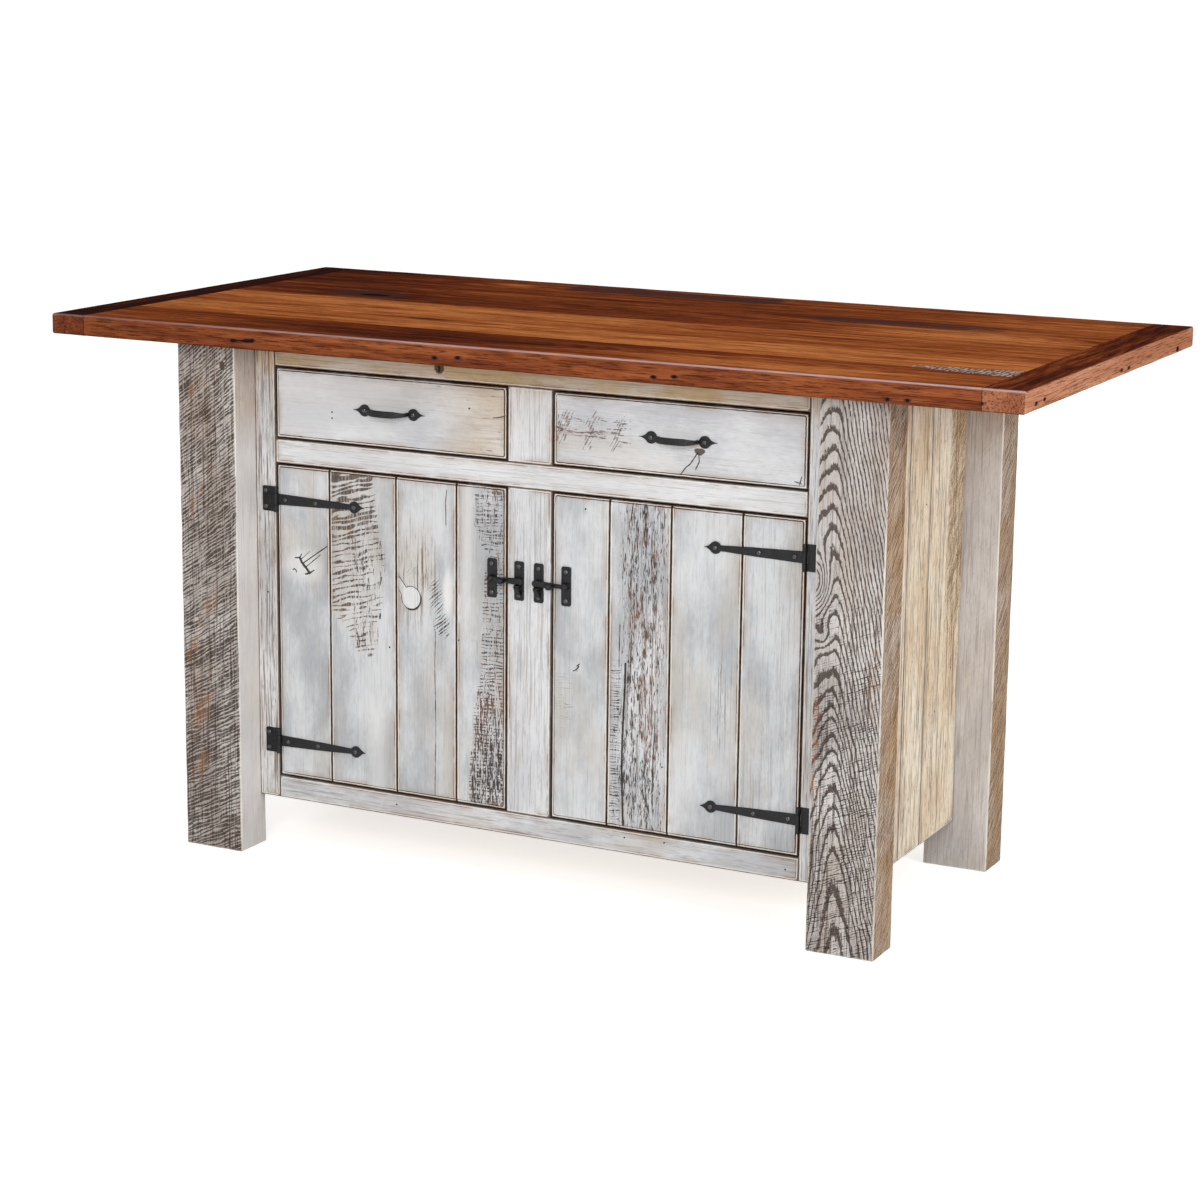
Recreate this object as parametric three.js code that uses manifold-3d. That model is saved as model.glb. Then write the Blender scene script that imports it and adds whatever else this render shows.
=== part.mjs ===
// Rustic kitchen island: a plank worktop on four rough-sawn posts, with a recessed cabinet that holds
// two drawers over two plank doors on strap hinges. Lengths are millimetres and angles are radians.
// Frame: X to the right, Y to the back, Z up; the origin is on the floor under the middle of the top.

import * as THREE from 'three';
import { mergeVertices } from 'three/addons/utils/BufferGeometryUtils.js';
import Module from 'manifold-3d';

const wasm = await Module();
wasm.setup();

// ---------------------------------------------------------------- driving sizes

const overallHeight = 914.4;

// Worktop: five planks between two breadboard ends
const topLength = 1727.2;
const topDepth = 863.6;
const topThickness = 34.9;
const topEdgeRadius = 5;
const breadboardWidth = 66.5;
const topBoardWidths = [156, 136, 162, 172, 237.6];

// Posts
const legWidth = 114.3;
const legDepth = 76.2;
const legEase = 3;
const endOverhang = 223.6;
const frontOverhang = 46;
const rearOverhang = 228;

// Face frame, set back between the front posts
const frameSetback = 61;
const frameThickness = 19;
const frameBottom = 90;
const endStileWidth = 40;
const centreStileWidth = 81;
const topRailHeight = 40;
const drawerOpeningHeight = 123;
const middleRailHeight = 41;
const bottomRailHeight = 38.5;

// Side and back boards, and the case inside them
const sideSetback = 63.5;
const backSetback = 61;
const caseBoardThickness = 19;
const caseBoardBottom = 82;
const boardGap = 0.6;
const boardEase = 1.5;
const sideBoardWidths = [91, 91, 97, 159];
const backBoardWidths = [128, 141, 119, 137, 126, 144, 121, 135];
const grooveDepth = 3;
const panelThickness = 19;
const shelfHeight = 400;
const shelfFrontSetback = 56;
const cleatHeight = 38;
const cleatThickness = 19;
const fitGap = 0.3;

// Doors: four vertical boards on a Z brace
const revealGap = 2.5;
const doorThickness = 19;
const leftDoorBoardWidths = [103, 129, 115, 93];
const rightDoorBoardWidths = [102, 109, 123, 106];
const braceWidth = 80;
const braceThickness = 19;
const braceSideInset = 14;
const braceEndInset = 50;

// Drawers
const drawerFrontThickness = 19;
const drawerWall = 12.7;
const drawerBackGap = 29.6;
const drawerSideInset = 11.5;
const drawerSideHeight = 98;
const drawerBottomThickness = 6;
const drawerBottomRise = 12;
const guideHeight = 20;
const guideWidth = 20;
const guideClearance = 0.8;

// Iron hardware
const ironThickness = 2.5;
const plateCorner = 2.5;
const spadeShoulderAngle = 0.85;
const spadeFlare = 1.25;
const barrelDiameter = 8;
const pinDiameter = 3.4;
const pinClearance = 0.3;
const hingePlateWidth = 23;
const hingePlateHeight = 43;
const hingeEdgeInset = 60;
const strapLength = 172;
const strapRootHeight = 19;
const strapNeckHeight = 9;
const strapLobeDiameter = 20;
const strapLobeToTip = 19;
const strapScrewPlaces = [17.5, 78, 153];
const latchPlateWidth = 17.5;
const latchPlateHeight = 65;
const latchHeight = 522;
const latchPlateEdgeInset = 25.3;
const keeperEdgeInset = 22.5;
const latchScrewSpacing = 48;
const latchHeadHeight = 11;
const latchHeadLength = 19;
const latchHeadRound = 3.5;
const latchNeckHeight = 6.5;
const latchBarThickness = 5;
const latchBarStandoff = 2.8;
const latchBarOverlap = 8.7;
const latchPivotDiameter = 5;
const latchPivotCapThickness = 2;
const latchHubDiameter = 11;
const latchKnobDiameter = 12;
const latchKnobStem = 5;
const latchKnobReach = 24;
const latchKnobProjection = 24;
const keeperFingerWidth = 9;
const keeperFingerReach = 13;
const keeperFingerThickness = 3;
const pullLobeSpacing = 93;
const pullLength = 136;
const pullLobeDiameter = 20;
const pullNeckHeight = 5;
const pullGripHeight = 11;
const pullGripThickness = 4;
const pullGripInset = 11;
const pullProjection = 24;
const pivotClearance = 0.3;
const screwHeadDiameter = 8;
const screwHeadHeight = 2;
const screwHeadSunk = 1;

// ---------------------------------------------------------------- places worked out from them

const topUnder = overallHeight - topThickness;
const legOuter = topLength / 2 - endOverhang;
const legInner = legOuter - legWidth;
const legFront = -topDepth / 2 + frontOverhang;
const legFrontBack = legFront + legDepth;
const legRear = topDepth / 2 - rearOverhang;
const legRearFront = legRear - legDepth;

const frameFront = legFront + frameSetback;
const frameBack = frameFront + frameThickness;
const openingOuter = legInner - endStileWidth;
const openingInner = centreStileWidth / 2;
const drawerOpeningTop = topUnder - topRailHeight;
const drawerOpeningBottom = drawerOpeningTop - drawerOpeningHeight;
const doorOpeningTop = drawerOpeningBottom - middleRailHeight;
const doorOpeningBottom = frameBottom + bottomRailHeight;

const sideOuter = legOuter - sideSetback;
const sideInner = sideOuter - caseBoardThickness;
const backOuter = legRear - backSetback;
const backInner = backOuter - caseBoardThickness;
const floorTop = doorOpeningBottom;
const deckTop = drawerOpeningBottom;

const drawerLow = drawerOpeningBottom + revealGap;
const drawerHigh = drawerOpeningTop - revealGap;
const doorLow = doorOpeningBottom + revealGap;
const doorHigh = doorOpeningTop - revealGap;
const leafOuter = openingOuter - revealGap;
const leafInner = openingInner + revealGap;

const barrelRadius = barrelDiameter / 2;
const hingeAxisX = openingOuter - revealGap / 2;
const hingeAxisY = frameFront - barrelRadius - fitGap;
const ironFront = frameFront - ironThickness;
const hingeHeights = [doorHigh - hingeEdgeInset, doorLow + hingeEdgeInset];
const latchPivotX = leafInner + latchPlateEdgeInset;
const keeperX = openingInner - keeperEdgeInset;
const barBack = ironFront - latchBarStandoff;
const barFront = barBack - latchBarThickness;

// ---------------------------------------------------------------- solids

function toSolid(geometry) {
  const plain = geometry.clone();
  plain.deleteAttribute('normal');
  plain.deleteAttribute('uv');
  const merged = mergeVertices(plain, 1e-4);
  const vertProperties = Float32Array.from(merged.attributes.position.array);
  const triVerts = Uint32Array.from(merged.index.array);
  return new wasm.Manifold(new wasm.Mesh({ numProp: 3, vertProperties, triVerts }));
}

function toGeometry(solid) {
  const mesh = solid.getMesh();
  const geometry = new THREE.BufferGeometry();
  geometry.setAttribute('position', new THREE.BufferAttribute(Float32Array.from(mesh.vertProperties), 3));
  geometry.setIndex(Array.from(mesh.triVerts));
  return geometry;
}

function join(...geometries) {
  return toGeometry(geometries.map(toSolid).reduce((sum, next) => sum.add(next)));
}

function cut(body, ...tools) {
  return toGeometry(tools.map(toSolid).reduce((rest, tool) => rest.subtract(tool), toSolid(body)));
}

function common(first, second) {
  return toGeometry(toSolid(first).intersect(toSolid(second)));
}

function box([x0, x1], [y0, y1], [z0, z1]) {
  const geometry = new THREE.BoxGeometry(x1 - x0, y1 - y0, z1 - z0);
  return geometry.translate((x0 + x1) / 2, (y0 + y1) / 2, (z0 + z1) / 2);
}

// Extrudes an outline drawn in (X, Y) along Z
function alongZ(shape, [from, to], curveSegments = 3) {
  const geometry = new THREE.ExtrudeGeometry(shape, { depth: to - from, bevelEnabled: false, curveSegments });
  return geometry.translate(0, 0, from);
}

// Extrudes an outline drawn in (Y, Z) along X
function alongX(shape, [from, to], curveSegments = 3) {
  const geometry = alongZ(shape, [from, to], curveSegments);
  return geometry.rotateZ(Math.PI / 2).rotateY(Math.PI / 2);
}

// Extrudes an outline drawn in (X, Z) along Y
function alongY(shape, [from, to], curveSegments = 3) {
  const geometry = alongZ(shape, [-to, -from], curveSegments);
  return geometry.rotateX(Math.PI / 2);
}

function easedRectangle([x0, x1], [y0, y1], radius) {
  const shape = new THREE.Shape();
  shape.moveTo(x0 + radius, y0);
  shape.absarc(x1 - radius, y0 + radius, radius, -Math.PI / 2, 0);
  shape.absarc(x1 - radius, y1 - radius, radius, 0, Math.PI / 2);
  shape.absarc(x0 + radius, y1 - radius, radius, Math.PI / 2, Math.PI);
  shape.absarc(x0 + radius, y0 + radius, radius, Math.PI, 1.5 * Math.PI);
  return shape;
}

function rodAlongY(radius, x, z, [y0, y1], sides = 12) {
  return new THREE.CylinderGeometry(radius, radius, y1 - y0, sides).translate(x, (y0 + y1) / 2, z);
}

function rodAlongZ(radius, x, y, [z0, z1], sides = 16) {
  const rod = new THREE.CylinderGeometry(radius, radius, z1 - z0, sides).rotateX(Math.PI / 2);
  return rod.translate(x, y, (z0 + z1) / 2);
}

// Splits a run into boards whose widths keep the given proportions, with a gap between neighbours
function splitRun([from, to], widths, gap) {
  const room = to - from - gap * (widths.length - 1);
  const total = widths.reduce((sum, width) => sum + width, 0);
  let start = from;
  return widths.map((width) => {
    const span = [start, start + (room * width) / total];
    start = span[1] + gap;
    return span;
  });
}

function mirrored([a, b], side) {
  return side < 0 ? [-b, -a] : [a, b];
}

// ---------------------------------------------------------------- finishes

function finish(color, roughness, metalness = 0) {
  return { color, roughness, metalness };
}

const stainedTop = finish(0x6d3217, 0.45);
const roughWhitewash = finish(0xb3aba3, 0.9);
const whitewash = finish(0xd8d4cb, 0.7);
const tanBoards = finish(0xb8a484, 0.8);
const insideWood = finish(0xc9a877, 0.65);
const blackIron = finish(0x1d1c1d, 0.55, 0.6);

function piece(name, geometry, look) {
  const mesh = new THREE.Mesh(geometry, new THREE.MeshStandardMaterial(look));
  mesh.name = name;
  return mesh;
}

const island = new THREE.Group();

function place(name, geometry, look) {
  island.add(piece(name, geometry, look));
}

// ---------------------------------------------------------------- worktop

const plankEnd = topLength / 2 - breadboardWidth;
const topSpanY = [-topDepth / 2, topDepth / 2];
const topSpanZ = [topUnder, overallHeight];

// The worktop's section in (Y, Z), with its front and back edges rounded over
function worktopSection() {
  return easedRectangle(topSpanY, topSpanZ, topEdgeRadius);
}

function addWorktopPlanks() {
  splitRun(topSpanY, topBoardWidths, 0).forEach((span, index) => {
    const whole = alongX(worktopSection(), [-plankEnd, plankEnd]);
    const slice = box([-plankEnd, plankEnd], span, topSpanZ);
    place(`top_board_${index + 1}`, common(whole, slice), stainedTop);
  });
}

// A breadboard end is rounded over along its outer edge as well as at the front and the back
function addBreadboard(name, side) {
  const outerSection = easedRectangle([-topLength / 2, topLength / 2], topSpanZ, topEdgeRadius);
  const rounded = common(
    alongX(worktopSection(), [-topLength / 2, topLength / 2]),
    alongY(outerSection, topSpanY),
  );
  const slice = box(mirrored([plankEnd, topLength / 2], side), topSpanY, topSpanZ);
  place(name, common(rounded, slice), stainedTop);
}

addWorktopPlanks();
addBreadboard('breadboard_left', -1);
addBreadboard('breadboard_right', 1);

// ---------------------------------------------------------------- posts

function addLeg(name, side, spanY) {
  const outline = easedRectangle(mirrored([legInner, legOuter], side), spanY, legEase);
  place(name, alongZ(outline, [0, topUnder], 2), roughWhitewash);
}

addLeg('leg_front_left', -1, [legFront, legFrontBack]);
addLeg('leg_front_right', 1, [legFront, legFrontBack]);
addLeg('leg_rear_left', -1, [legRearFront, legRear]);
addLeg('leg_rear_right', 1, [legRearFront, legRear]);

// ---------------------------------------------------------------- iron plates and their screws

// A flat iron plate against the face frame, with rounded corners
function plate(spanX, spanZ) {
  return alongY(easedRectangle(spanX, spanZ, plateCorner), [ironFront, frameFront], 2);
}

// The round head of a screw, set a little into the plate that it holds
function screwHead([x, z]) {
  const radius = screwHeadDiameter / 2;
  const profile = [
    [0, -screwHeadHeight],
    [0.6 * radius, -0.8 * screwHeadHeight],
    [radius, 0],
    [radius, screwHeadSunk],
    [0, screwHeadSunk],
  ].map(([across, along]) => new THREE.Vector2(across, along));
  return new THREE.LatheGeometry(profile, 8).translate(x, ironFront, z);
}

function screwed(geometry, places) {
  return join(geometry, ...places.map(screwHead));
}

const hingePlateX = hingeAxisX + barrelRadius + fitGap + hingePlateWidth / 2;
const hingeScrewRise = hingePlateHeight / 2 - screwHeadDiameter;

function hingePlateScrews(side, height) {
  return [-1, 1].map((end) => [side * hingePlateX, height + end * hingeScrewRise]);
}

function strapScrews(side, height) {
  return strapScrewPlaces.map((along) => [side * (hingeAxisX - along), height]);
}

function latchPlateScrews(x) {
  return [-1, 1].map((end) => [x, latchHeight + (end * latchScrewSpacing) / 2]);
}

// ---------------------------------------------------------------- face frame

const frameY = [frameFront, frameBack];

function addFaceFrame() {
  const railX = [-openingOuter, openingOuter];
  const centreX = [-openingInner, openingInner];
  const stile = (side) => box(mirrored([openingOuter, legInner], side), frameY, [frameBottom, topUnder]);
  place('stile_left', stile(-1), whitewash);
  place('stile_right', stile(1), whitewash);
  place('rail_top', box(railX, frameY, [drawerOpeningTop, topUnder]), whitewash);
  place('rail_middle', box(railX, frameY, [doorOpeningTop, drawerOpeningBottom]), whitewash);
  place('rail_bottom', box(railX, frameY, [frameBottom, doorOpeningBottom]), whitewash);
  place('stile_centre_upper', box(centreX, frameY, [drawerOpeningBottom, drawerOpeningTop]), whitewash);
  place('stile_centre_lower', box(centreX, frameY, [doorOpeningBottom, doorOpeningTop]), whitewash);
}

addFaceFrame();

// ---------------------------------------------------------------- side and back boards

// A panel of upright tongued boards, with a V groove in the show face along each seam
function boardedPanel(spans, [front, back], spanZ) {
  const outline = new THREE.Shape();
  const first = spans[0][0];
  const last = spans[spans.length - 1][1];
  outline.moveTo(first, front);
  spans.slice(1).forEach(([seam]) => {
    outline.lineTo(seam - boardEase, front);
    outline.lineTo(seam, front + grooveDepth);
    outline.lineTo(seam + boardEase, front);
  });
  outline.lineTo(last, front);
  outline.lineTo(last, back);
  outline.lineTo(first, back);
  outline.closePath();
  return alongZ(outline, spanZ);
}

const caseBoardZ = [caseBoardBottom, topUnder];

function addSidePanel(name, side) {
  const spans = splitRun([legFrontBack, legRearFront], sideBoardWidths, 0);
  const ordered = side > 0 ? spans : spans.map((span) => mirrored(span, -1)).reverse();
  const panel = boardedPanel(ordered, [-sideOuter, -sideInner], caseBoardZ);
  place(name, panel.rotateZ((side * Math.PI) / 2), tanBoards);
}

function addBackPanel() {
  const spans = splitRun([-legInner, legInner], backBoardWidths, 0);
  const panel = boardedPanel(spans, [-backOuter, -backInner], caseBoardZ);
  place('back_panel', panel.rotateZ(Math.PI), tanBoards);
}

addSidePanel('side_panel_left', -1);
addSidePanel('side_panel_right', 1);
addBackPanel();

// ---------------------------------------------------------------- case inside the boards

const caseX = [-sideInner, sideInner];
const caseY = [frameBack, backInner];
const cleatX = [sideInner - cleatThickness, sideInner];
const shelfY = [frameBack + shelfFrontSetback, backInner - fitGap];

// The deck that the drawers slide on, with the strips that keep their sides in line
const drawerSideOuter = leafOuter - drawerSideInset;
const drawerSideInner = leafInner + drawerSideInset;

function drawerDeck() {
  const stripZ = [deckTop - fitGap, deckTop + guideHeight];
  const outerX = [drawerSideOuter + guideClearance, drawerSideOuter + guideClearance + guideWidth];
  const centreX = drawerSideInner - guideClearance;
  return join(
    box(caseX, caseY, [deckTop - panelThickness, deckTop]),
    box(mirrored(outerX, -1), caseY, stripZ),
    box([-centreX, centreX], caseY, stripZ),
    box(outerX, caseY, stripZ),
  );
}

function addCleats(label, side) {
  const spanX = mirrored(cleatX, side);
  place(`top_cleat_${label}`, box(spanX, caseY, [topUnder - cleatHeight, topUnder]), insideWood);
  place(`shelf_cleat_${label}`, box(spanX, shelfY, [shelfHeight - cleatHeight, shelfHeight]), insideWood);
}

addCleats('left', -1);
addCleats('right', 1);
place('cabinet_floor', box(caseX, caseY, [floorTop - panelThickness, floorTop]), insideWood);
place('drawer_deck', drawerDeck(), insideWood);
place(
  'shelf',
  box([-sideInner + fitGap, sideInner - fitGap], shelfY, [shelfHeight, shelfHeight + panelThickness]),
  insideWood,
);

// ---------------------------------------------------------------- strap hinges

// A leaf on the stile with the two end knuckles and the pin that they hold
function hingePlate(side, height) {
  const spanY = [ironFront, frameFront];
  const knuckleFrom = strapRootHeight / 2 + fitGap;
  const knuckleTo = hingePlateHeight / 2;
  const edge = hingeAxisX + barrelRadius + fitGap;
  const leafX = mirrored([edge, edge + hingePlateWidth], side);
  const leaf = plate(leafX, [height - knuckleTo, height + knuckleTo]);
  const ends = [-1, 1].flatMap((end) => {
    const spanZ = mirrored([knuckleFrom, knuckleTo], end).map((z) => height + z);
    return [
      box(mirrored([hingeAxisX, edge + fitGap], side), spanY, spanZ),
      rodAlongZ(barrelRadius, side * hingeAxisX, hingeAxisY, spanZ),
    ];
  });
  const pinZ = [height - knuckleTo, height + knuckleTo];
  const pin = rodAlongZ(pinDiameter / 2, side * hingeAxisX, hingeAxisY, pinZ, 8);
  return screwed(join(leaf, ...ends, pin), hingePlateScrews(side, height));
}

// Draws a round lobe that runs out to a point, from its lower neck round to its upper neck
function drawSpade(outline, centre, radius, tip, neckHeight) {
  const neckAngle = Math.asin(neckHeight / 2 / radius);
  const flareX = centre + spadeFlare * radius;
  const flareZ = neckHeight / 8;
  const shoulderX = centre + radius * Math.cos(spadeShoulderAngle);
  const shoulderZ = radius * Math.sin(spadeShoulderAngle);
  outline.lineTo(centre - radius * Math.cos(neckAngle), -neckHeight / 2);
  outline.absarc(centre, 0, radius, Math.PI + neckAngle, 2 * Math.PI - spadeShoulderAngle);
  outline.quadraticCurveTo(flareX, -flareZ, tip, 0);
  outline.quadraticCurveTo(flareX, flareZ, shoulderX, shoulderZ);
  outline.absarc(centre, 0, radius, spadeShoulderAngle, Math.PI - neckAngle);
}

// Outline of a tapered strap with a spade end, drawn from the pin outwards
function strapOutline() {
  const radius = strapLobeDiameter / 2;
  const lobe = strapLength - strapLobeToTip;
  const outline = new THREE.Shape();
  outline.moveTo(0, -strapRootHeight / 2);
  drawSpade(outline, lobe, radius, strapLength, strapNeckHeight);
  outline.lineTo(0, strapRootHeight / 2);
  outline.closePath();
  return outline;
}

// The strap on the door, with the middle knuckle that turns on the pin
function hingeStrap(side, height) {
  const spanZ = [height - strapRootHeight / 2, height + strapRootHeight / 2];
  const strap = alongY(strapOutline(), [ironFront, frameFront], 7);
  const turned = side > 0 ? strap.rotateZ(Math.PI).translate(0, ironFront + frameFront, 0) : strap;
  turned.translate(side * hingeAxisX, 0, height);
  const knuckle = rodAlongZ(barrelRadius, side * hingeAxisX, hingeAxisY, spanZ);
  const boreZ = [spanZ[0] - fitGap, spanZ[1] + fitGap];
  const bore = rodAlongZ(pinDiameter / 2 + pinClearance, side * hingeAxisX, hingeAxisY, boreZ, 8);
  return screwed(cut(join(turned, knuckle), bore), strapScrews(side, height));
}

// ---------------------------------------------------------------- latches

function latchPlateAt(x) {
  const spanX = [x - latchPlateWidth / 2, x + latchPlateWidth / 2];
  return plate(spanX, [latchHeight - latchPlateHeight / 2, latchHeight + latchPlateHeight / 2]);
}

// Plate on the door with a collar, a pivot stud and its cap
function latchPlate(side) {
  const x = side * latchPivotX;
  const capY = [barFront - fitGap - latchPivotCapThickness, barFront - fitGap];
  const collar = rodAlongY(latchHubDiameter / 2, x, latchHeight, [barBack + fitGap, frameFront]);
  const stud = rodAlongY(latchPivotDiameter / 2, x, latchHeight, [capY[0], frameFront], 8);
  const cap = rodAlongY(latchPivotDiameter, x, latchHeight, capY);
  return screwed(join(latchPlateAt(x), collar, stud, cap), latchPlateScrews(x));
}

// Outline of the bar: a hub, a neck that widens along the bar, and a deep rounded head
function barOutline(reach) {
  const headStart = reach - latchHeadLength;
  const headHalf = latchHeadHeight / 2;
  const round = latchHeadRound;
  const outline = new THREE.Shape();
  outline.moveTo(0, -latchNeckHeight / 2);
  outline.lineTo(headStart, -headHalf);
  outline.absarc(reach - round, round - headHalf, round, -Math.PI / 2, 0);
  outline.absarc(reach - round, headHalf - round, round, 0, Math.PI / 2);
  outline.lineTo(headStart, headHalf);
  outline.lineTo(0, latchNeckHeight / 2);
  outline.closePath();
  return outline;
}

// The bar that drops onto the keeper, with its hub and the ball knob it is lifted by
function latchBar(side) {
  const pivot = side * latchPivotX;
  const reach = latchPivotX - keeperX + latchBarOverlap;
  const straight = alongY(barOutline(reach), [barFront, barBack]);
  const bar = side > 0 ? straight.rotateZ(Math.PI).translate(0, barFront + barBack, 0) : straight;
  const hub = rodAlongY(latchHubDiameter / 2, pivot, latchHeight, [barFront, barBack]);
  const knobX = pivot - side * latchKnobReach;
  const knobRadius = latchKnobDiameter / 2;
  const knobY = frameFront - latchKnobProjection + knobRadius;
  const stem = rodAlongY(latchKnobStem / 2, knobX, latchHeight, [knobY, barBack - fitGap], 8);
  const ball = new THREE.SphereGeometry(knobRadius, 12, 8).translate(knobX, knobY, latchHeight);
  const holeY = [barFront - fitGap, barBack + fitGap];
  const hole = rodAlongY(latchPivotDiameter / 2 + pivotClearance, pivot, latchHeight, holeY, 8);
  return cut(join(bar.translate(pivot, 0, latchHeight), hub, stem, ball), hole);
}

// Keeper plate on the stile, with the finger that the bar rests on
function keeper(side) {
  const x = side * keeperX;
  const fingerTop = latchHeight - latchHeadHeight / 2 - fitGap;
  const finger = box(
    [x - keeperFingerWidth / 2, x + keeperFingerWidth / 2],
    [ironFront - keeperFingerReach, frameFront],
    [fingerTop - keeperFingerThickness, fingerTop],
  );
  return screwed(join(latchPlateAt(x), finger), latchPlateScrews(x));
}

// ---------------------------------------------------------------- doors

const doorY = [frameFront, frameFront + doorThickness];
const braceY = [frameFront + doorThickness, frameFront + doorThickness + braceThickness];

// One upright board with its long edges eased on the show face
function doorBoard([from, to]) {
  const [front, back] = doorY;
  const outline = new THREE.Shape();
  outline.moveTo(from + boardEase, front);
  outline.lineTo(to - boardEase, front);
  outline.lineTo(to, front + boardEase);
  outline.lineTo(to, back);
  outline.lineTo(from, back);
  outline.lineTo(from, front + boardEase);
  outline.closePath();
  return alongZ(outline, [doorLow, doorHigh]);
}

// Two battens and the diagonal that rises from the lower hinge to the latch side
function doorBrace(side) {
  const spanX = [leafInner + braceSideInset, leafOuter - braceSideInset];
  const lowZ = [doorLow + braceEndInset, doorLow + braceEndInset + braceWidth];
  const highZ = [doorHigh - braceEndInset - braceWidth, doorHigh - braceEndInset];
  const diagonal = new THREE.Shape();
  diagonal.moveTo(side * spanX[1], lowZ[1] - fitGap);
  diagonal.lineTo(side * (spanX[1] - braceWidth), lowZ[1] - fitGap);
  diagonal.lineTo(side * spanX[0], highZ[0] + fitGap);
  diagonal.lineTo(side * (spanX[0] + braceWidth), highZ[0] + fitGap);
  diagonal.closePath();
  return join(
    box(mirrored(spanX, side), braceY, lowZ),
    box(mirrored(spanX, side), braceY, highZ),
    alongY(diagonal, braceY),
  );
}

function addDoor(label, side, widths) {
  const spans = splitRun(mirrored([leafInner, leafOuter], side), widths, boardGap);
  spans.forEach((span, index) => place(`door_${label}_board_${index + 1}`, doorBoard(span), whitewash));
  place(`door_${label}_brace`, doorBrace(side), whitewash);
  ['upper', 'lower'].forEach((level, index) => {
    const height = hingeHeights[index];
    place(`hinge_plate_${label}_${level}`, hingePlate(side, height), blackIron);
    place(`hinge_strap_${label}_${level}`, hingeStrap(side, height), blackIron);
  });
  place(`latch_plate_${label}`, latchPlate(side), blackIron);
  place(`latch_bar_${label}`, latchBar(side), blackIron);
  place(`keeper_${label}`, keeper(side), blackIron);
}

addDoor('left', -1, leftDoorBoardWidths);
addDoor('right', 1, rightDoorBoardWidths);

// ---------------------------------------------------------------- drawers

const drawerFrontY = [frameFront, frameFront + drawerFrontThickness];
const drawerBoxY = [frameFront + drawerFrontThickness, backInner - drawerBackGap];
const drawerRiseZ = [deckTop + fitGap, deckTop + fitGap + drawerSideHeight];
const pullHeight = (drawerLow + drawerHigh) / 2;

// Outline of one end of the pull: a spade lobe with the neck that joins it to the grip
function pullEndOutline() {
  const lobe = pullLobeSpacing / 2;
  const footX = lobe - pullGripInset - pullGripThickness;
  const outline = new THREE.Shape();
  outline.moveTo(footX, -pullNeckHeight / 2);
  drawSpade(outline, lobe, pullLobeDiameter / 2, pullLength / 2, pullNeckHeight);
  outline.lineTo(footX, pullNeckHeight / 2);
  outline.closePath();
  return outline;
}

// The bowed grip seen from above, between the two lobes
function gripOutline() {
  const outerHalf = pullLobeSpacing / 2 - pullGripInset;
  const innerHalf = outerHalf - pullGripThickness;
  const outline = new THREE.Shape();
  outline.moveTo(outerHalf, frameFront);
  outline.lineTo(innerHalf, frameFront);
  outline.absellipse(0, ironFront, innerHalf, pullProjection - pullGripThickness, 0, -Math.PI, true);
  outline.lineTo(-outerHalf, frameFront);
  outline.absellipse(0, ironFront, outerHalf, pullProjection, Math.PI, 2 * Math.PI, false);
  outline.closePath();
  return outline;
}

function pullScrews(x) {
  return [-1, 1].map((end) => [x + (end * pullLobeSpacing) / 2, pullHeight]);
}

function drawerPull(x) {
  const rightEnd = alongY(pullEndOutline(), [ironFront, frameFront], 7);
  const leftEnd = rightEnd.clone().rotateZ(Math.PI).translate(0, ironFront + frameFront, 0);
  const grip = alongZ(gripOutline(), [-pullGripHeight / 2, pullGripHeight / 2], 14);
  const pull = join(rightEnd, leftEnd, grip).translate(x, 0, pullHeight);
  return screwed(pull, pullScrews(x));
}

// Two sides and the back, glued at their corners
function drawerBox(side, backY) {
  const innerX = [drawerSideInner, drawerSideInner + drawerWall];
  const outerX = [drawerSideOuter - drawerWall, drawerSideOuter];
  return join(
    box(mirrored(innerX, side), drawerBoxY, drawerRiseZ),
    box(mirrored(outerX, side), drawerBoxY, drawerRiseZ),
    box(mirrored([drawerSideInner, drawerSideOuter], side), backY, drawerRiseZ),
  );
}

function addDrawer(label, side) {
  const middle = (side * (leafInner + leafOuter)) / 2;
  const backY = [drawerBoxY[1] - drawerWall, drawerBoxY[1]];
  const insideX = mirrored([drawerSideInner + drawerWall, drawerSideOuter - drawerWall], side);
  const bottomLow = drawerRiseZ[0] + drawerBottomRise;
  const bottomZ = [bottomLow, bottomLow + drawerBottomThickness];
  const front = box(mirrored([leafInner, leafOuter], side), drawerFrontY, [drawerLow, drawerHigh]);
  place(`drawer_${label}_front`, front, whitewash);
  place(`drawer_${label}_box`, drawerBox(side, backY), insideWood);
  place(`drawer_${label}_bottom`, box(insideX, [drawerBoxY[0], backY[0]], bottomZ), insideWood);
  place(`drawer_${label}_pull`, drawerPull(middle), blackIron);
}

addDrawer('left', -1);
addDrawer('right', 1);

export default island;
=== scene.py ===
import math

import bpy
import numpy as np
from mathutils import Matrix, Vector


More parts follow.
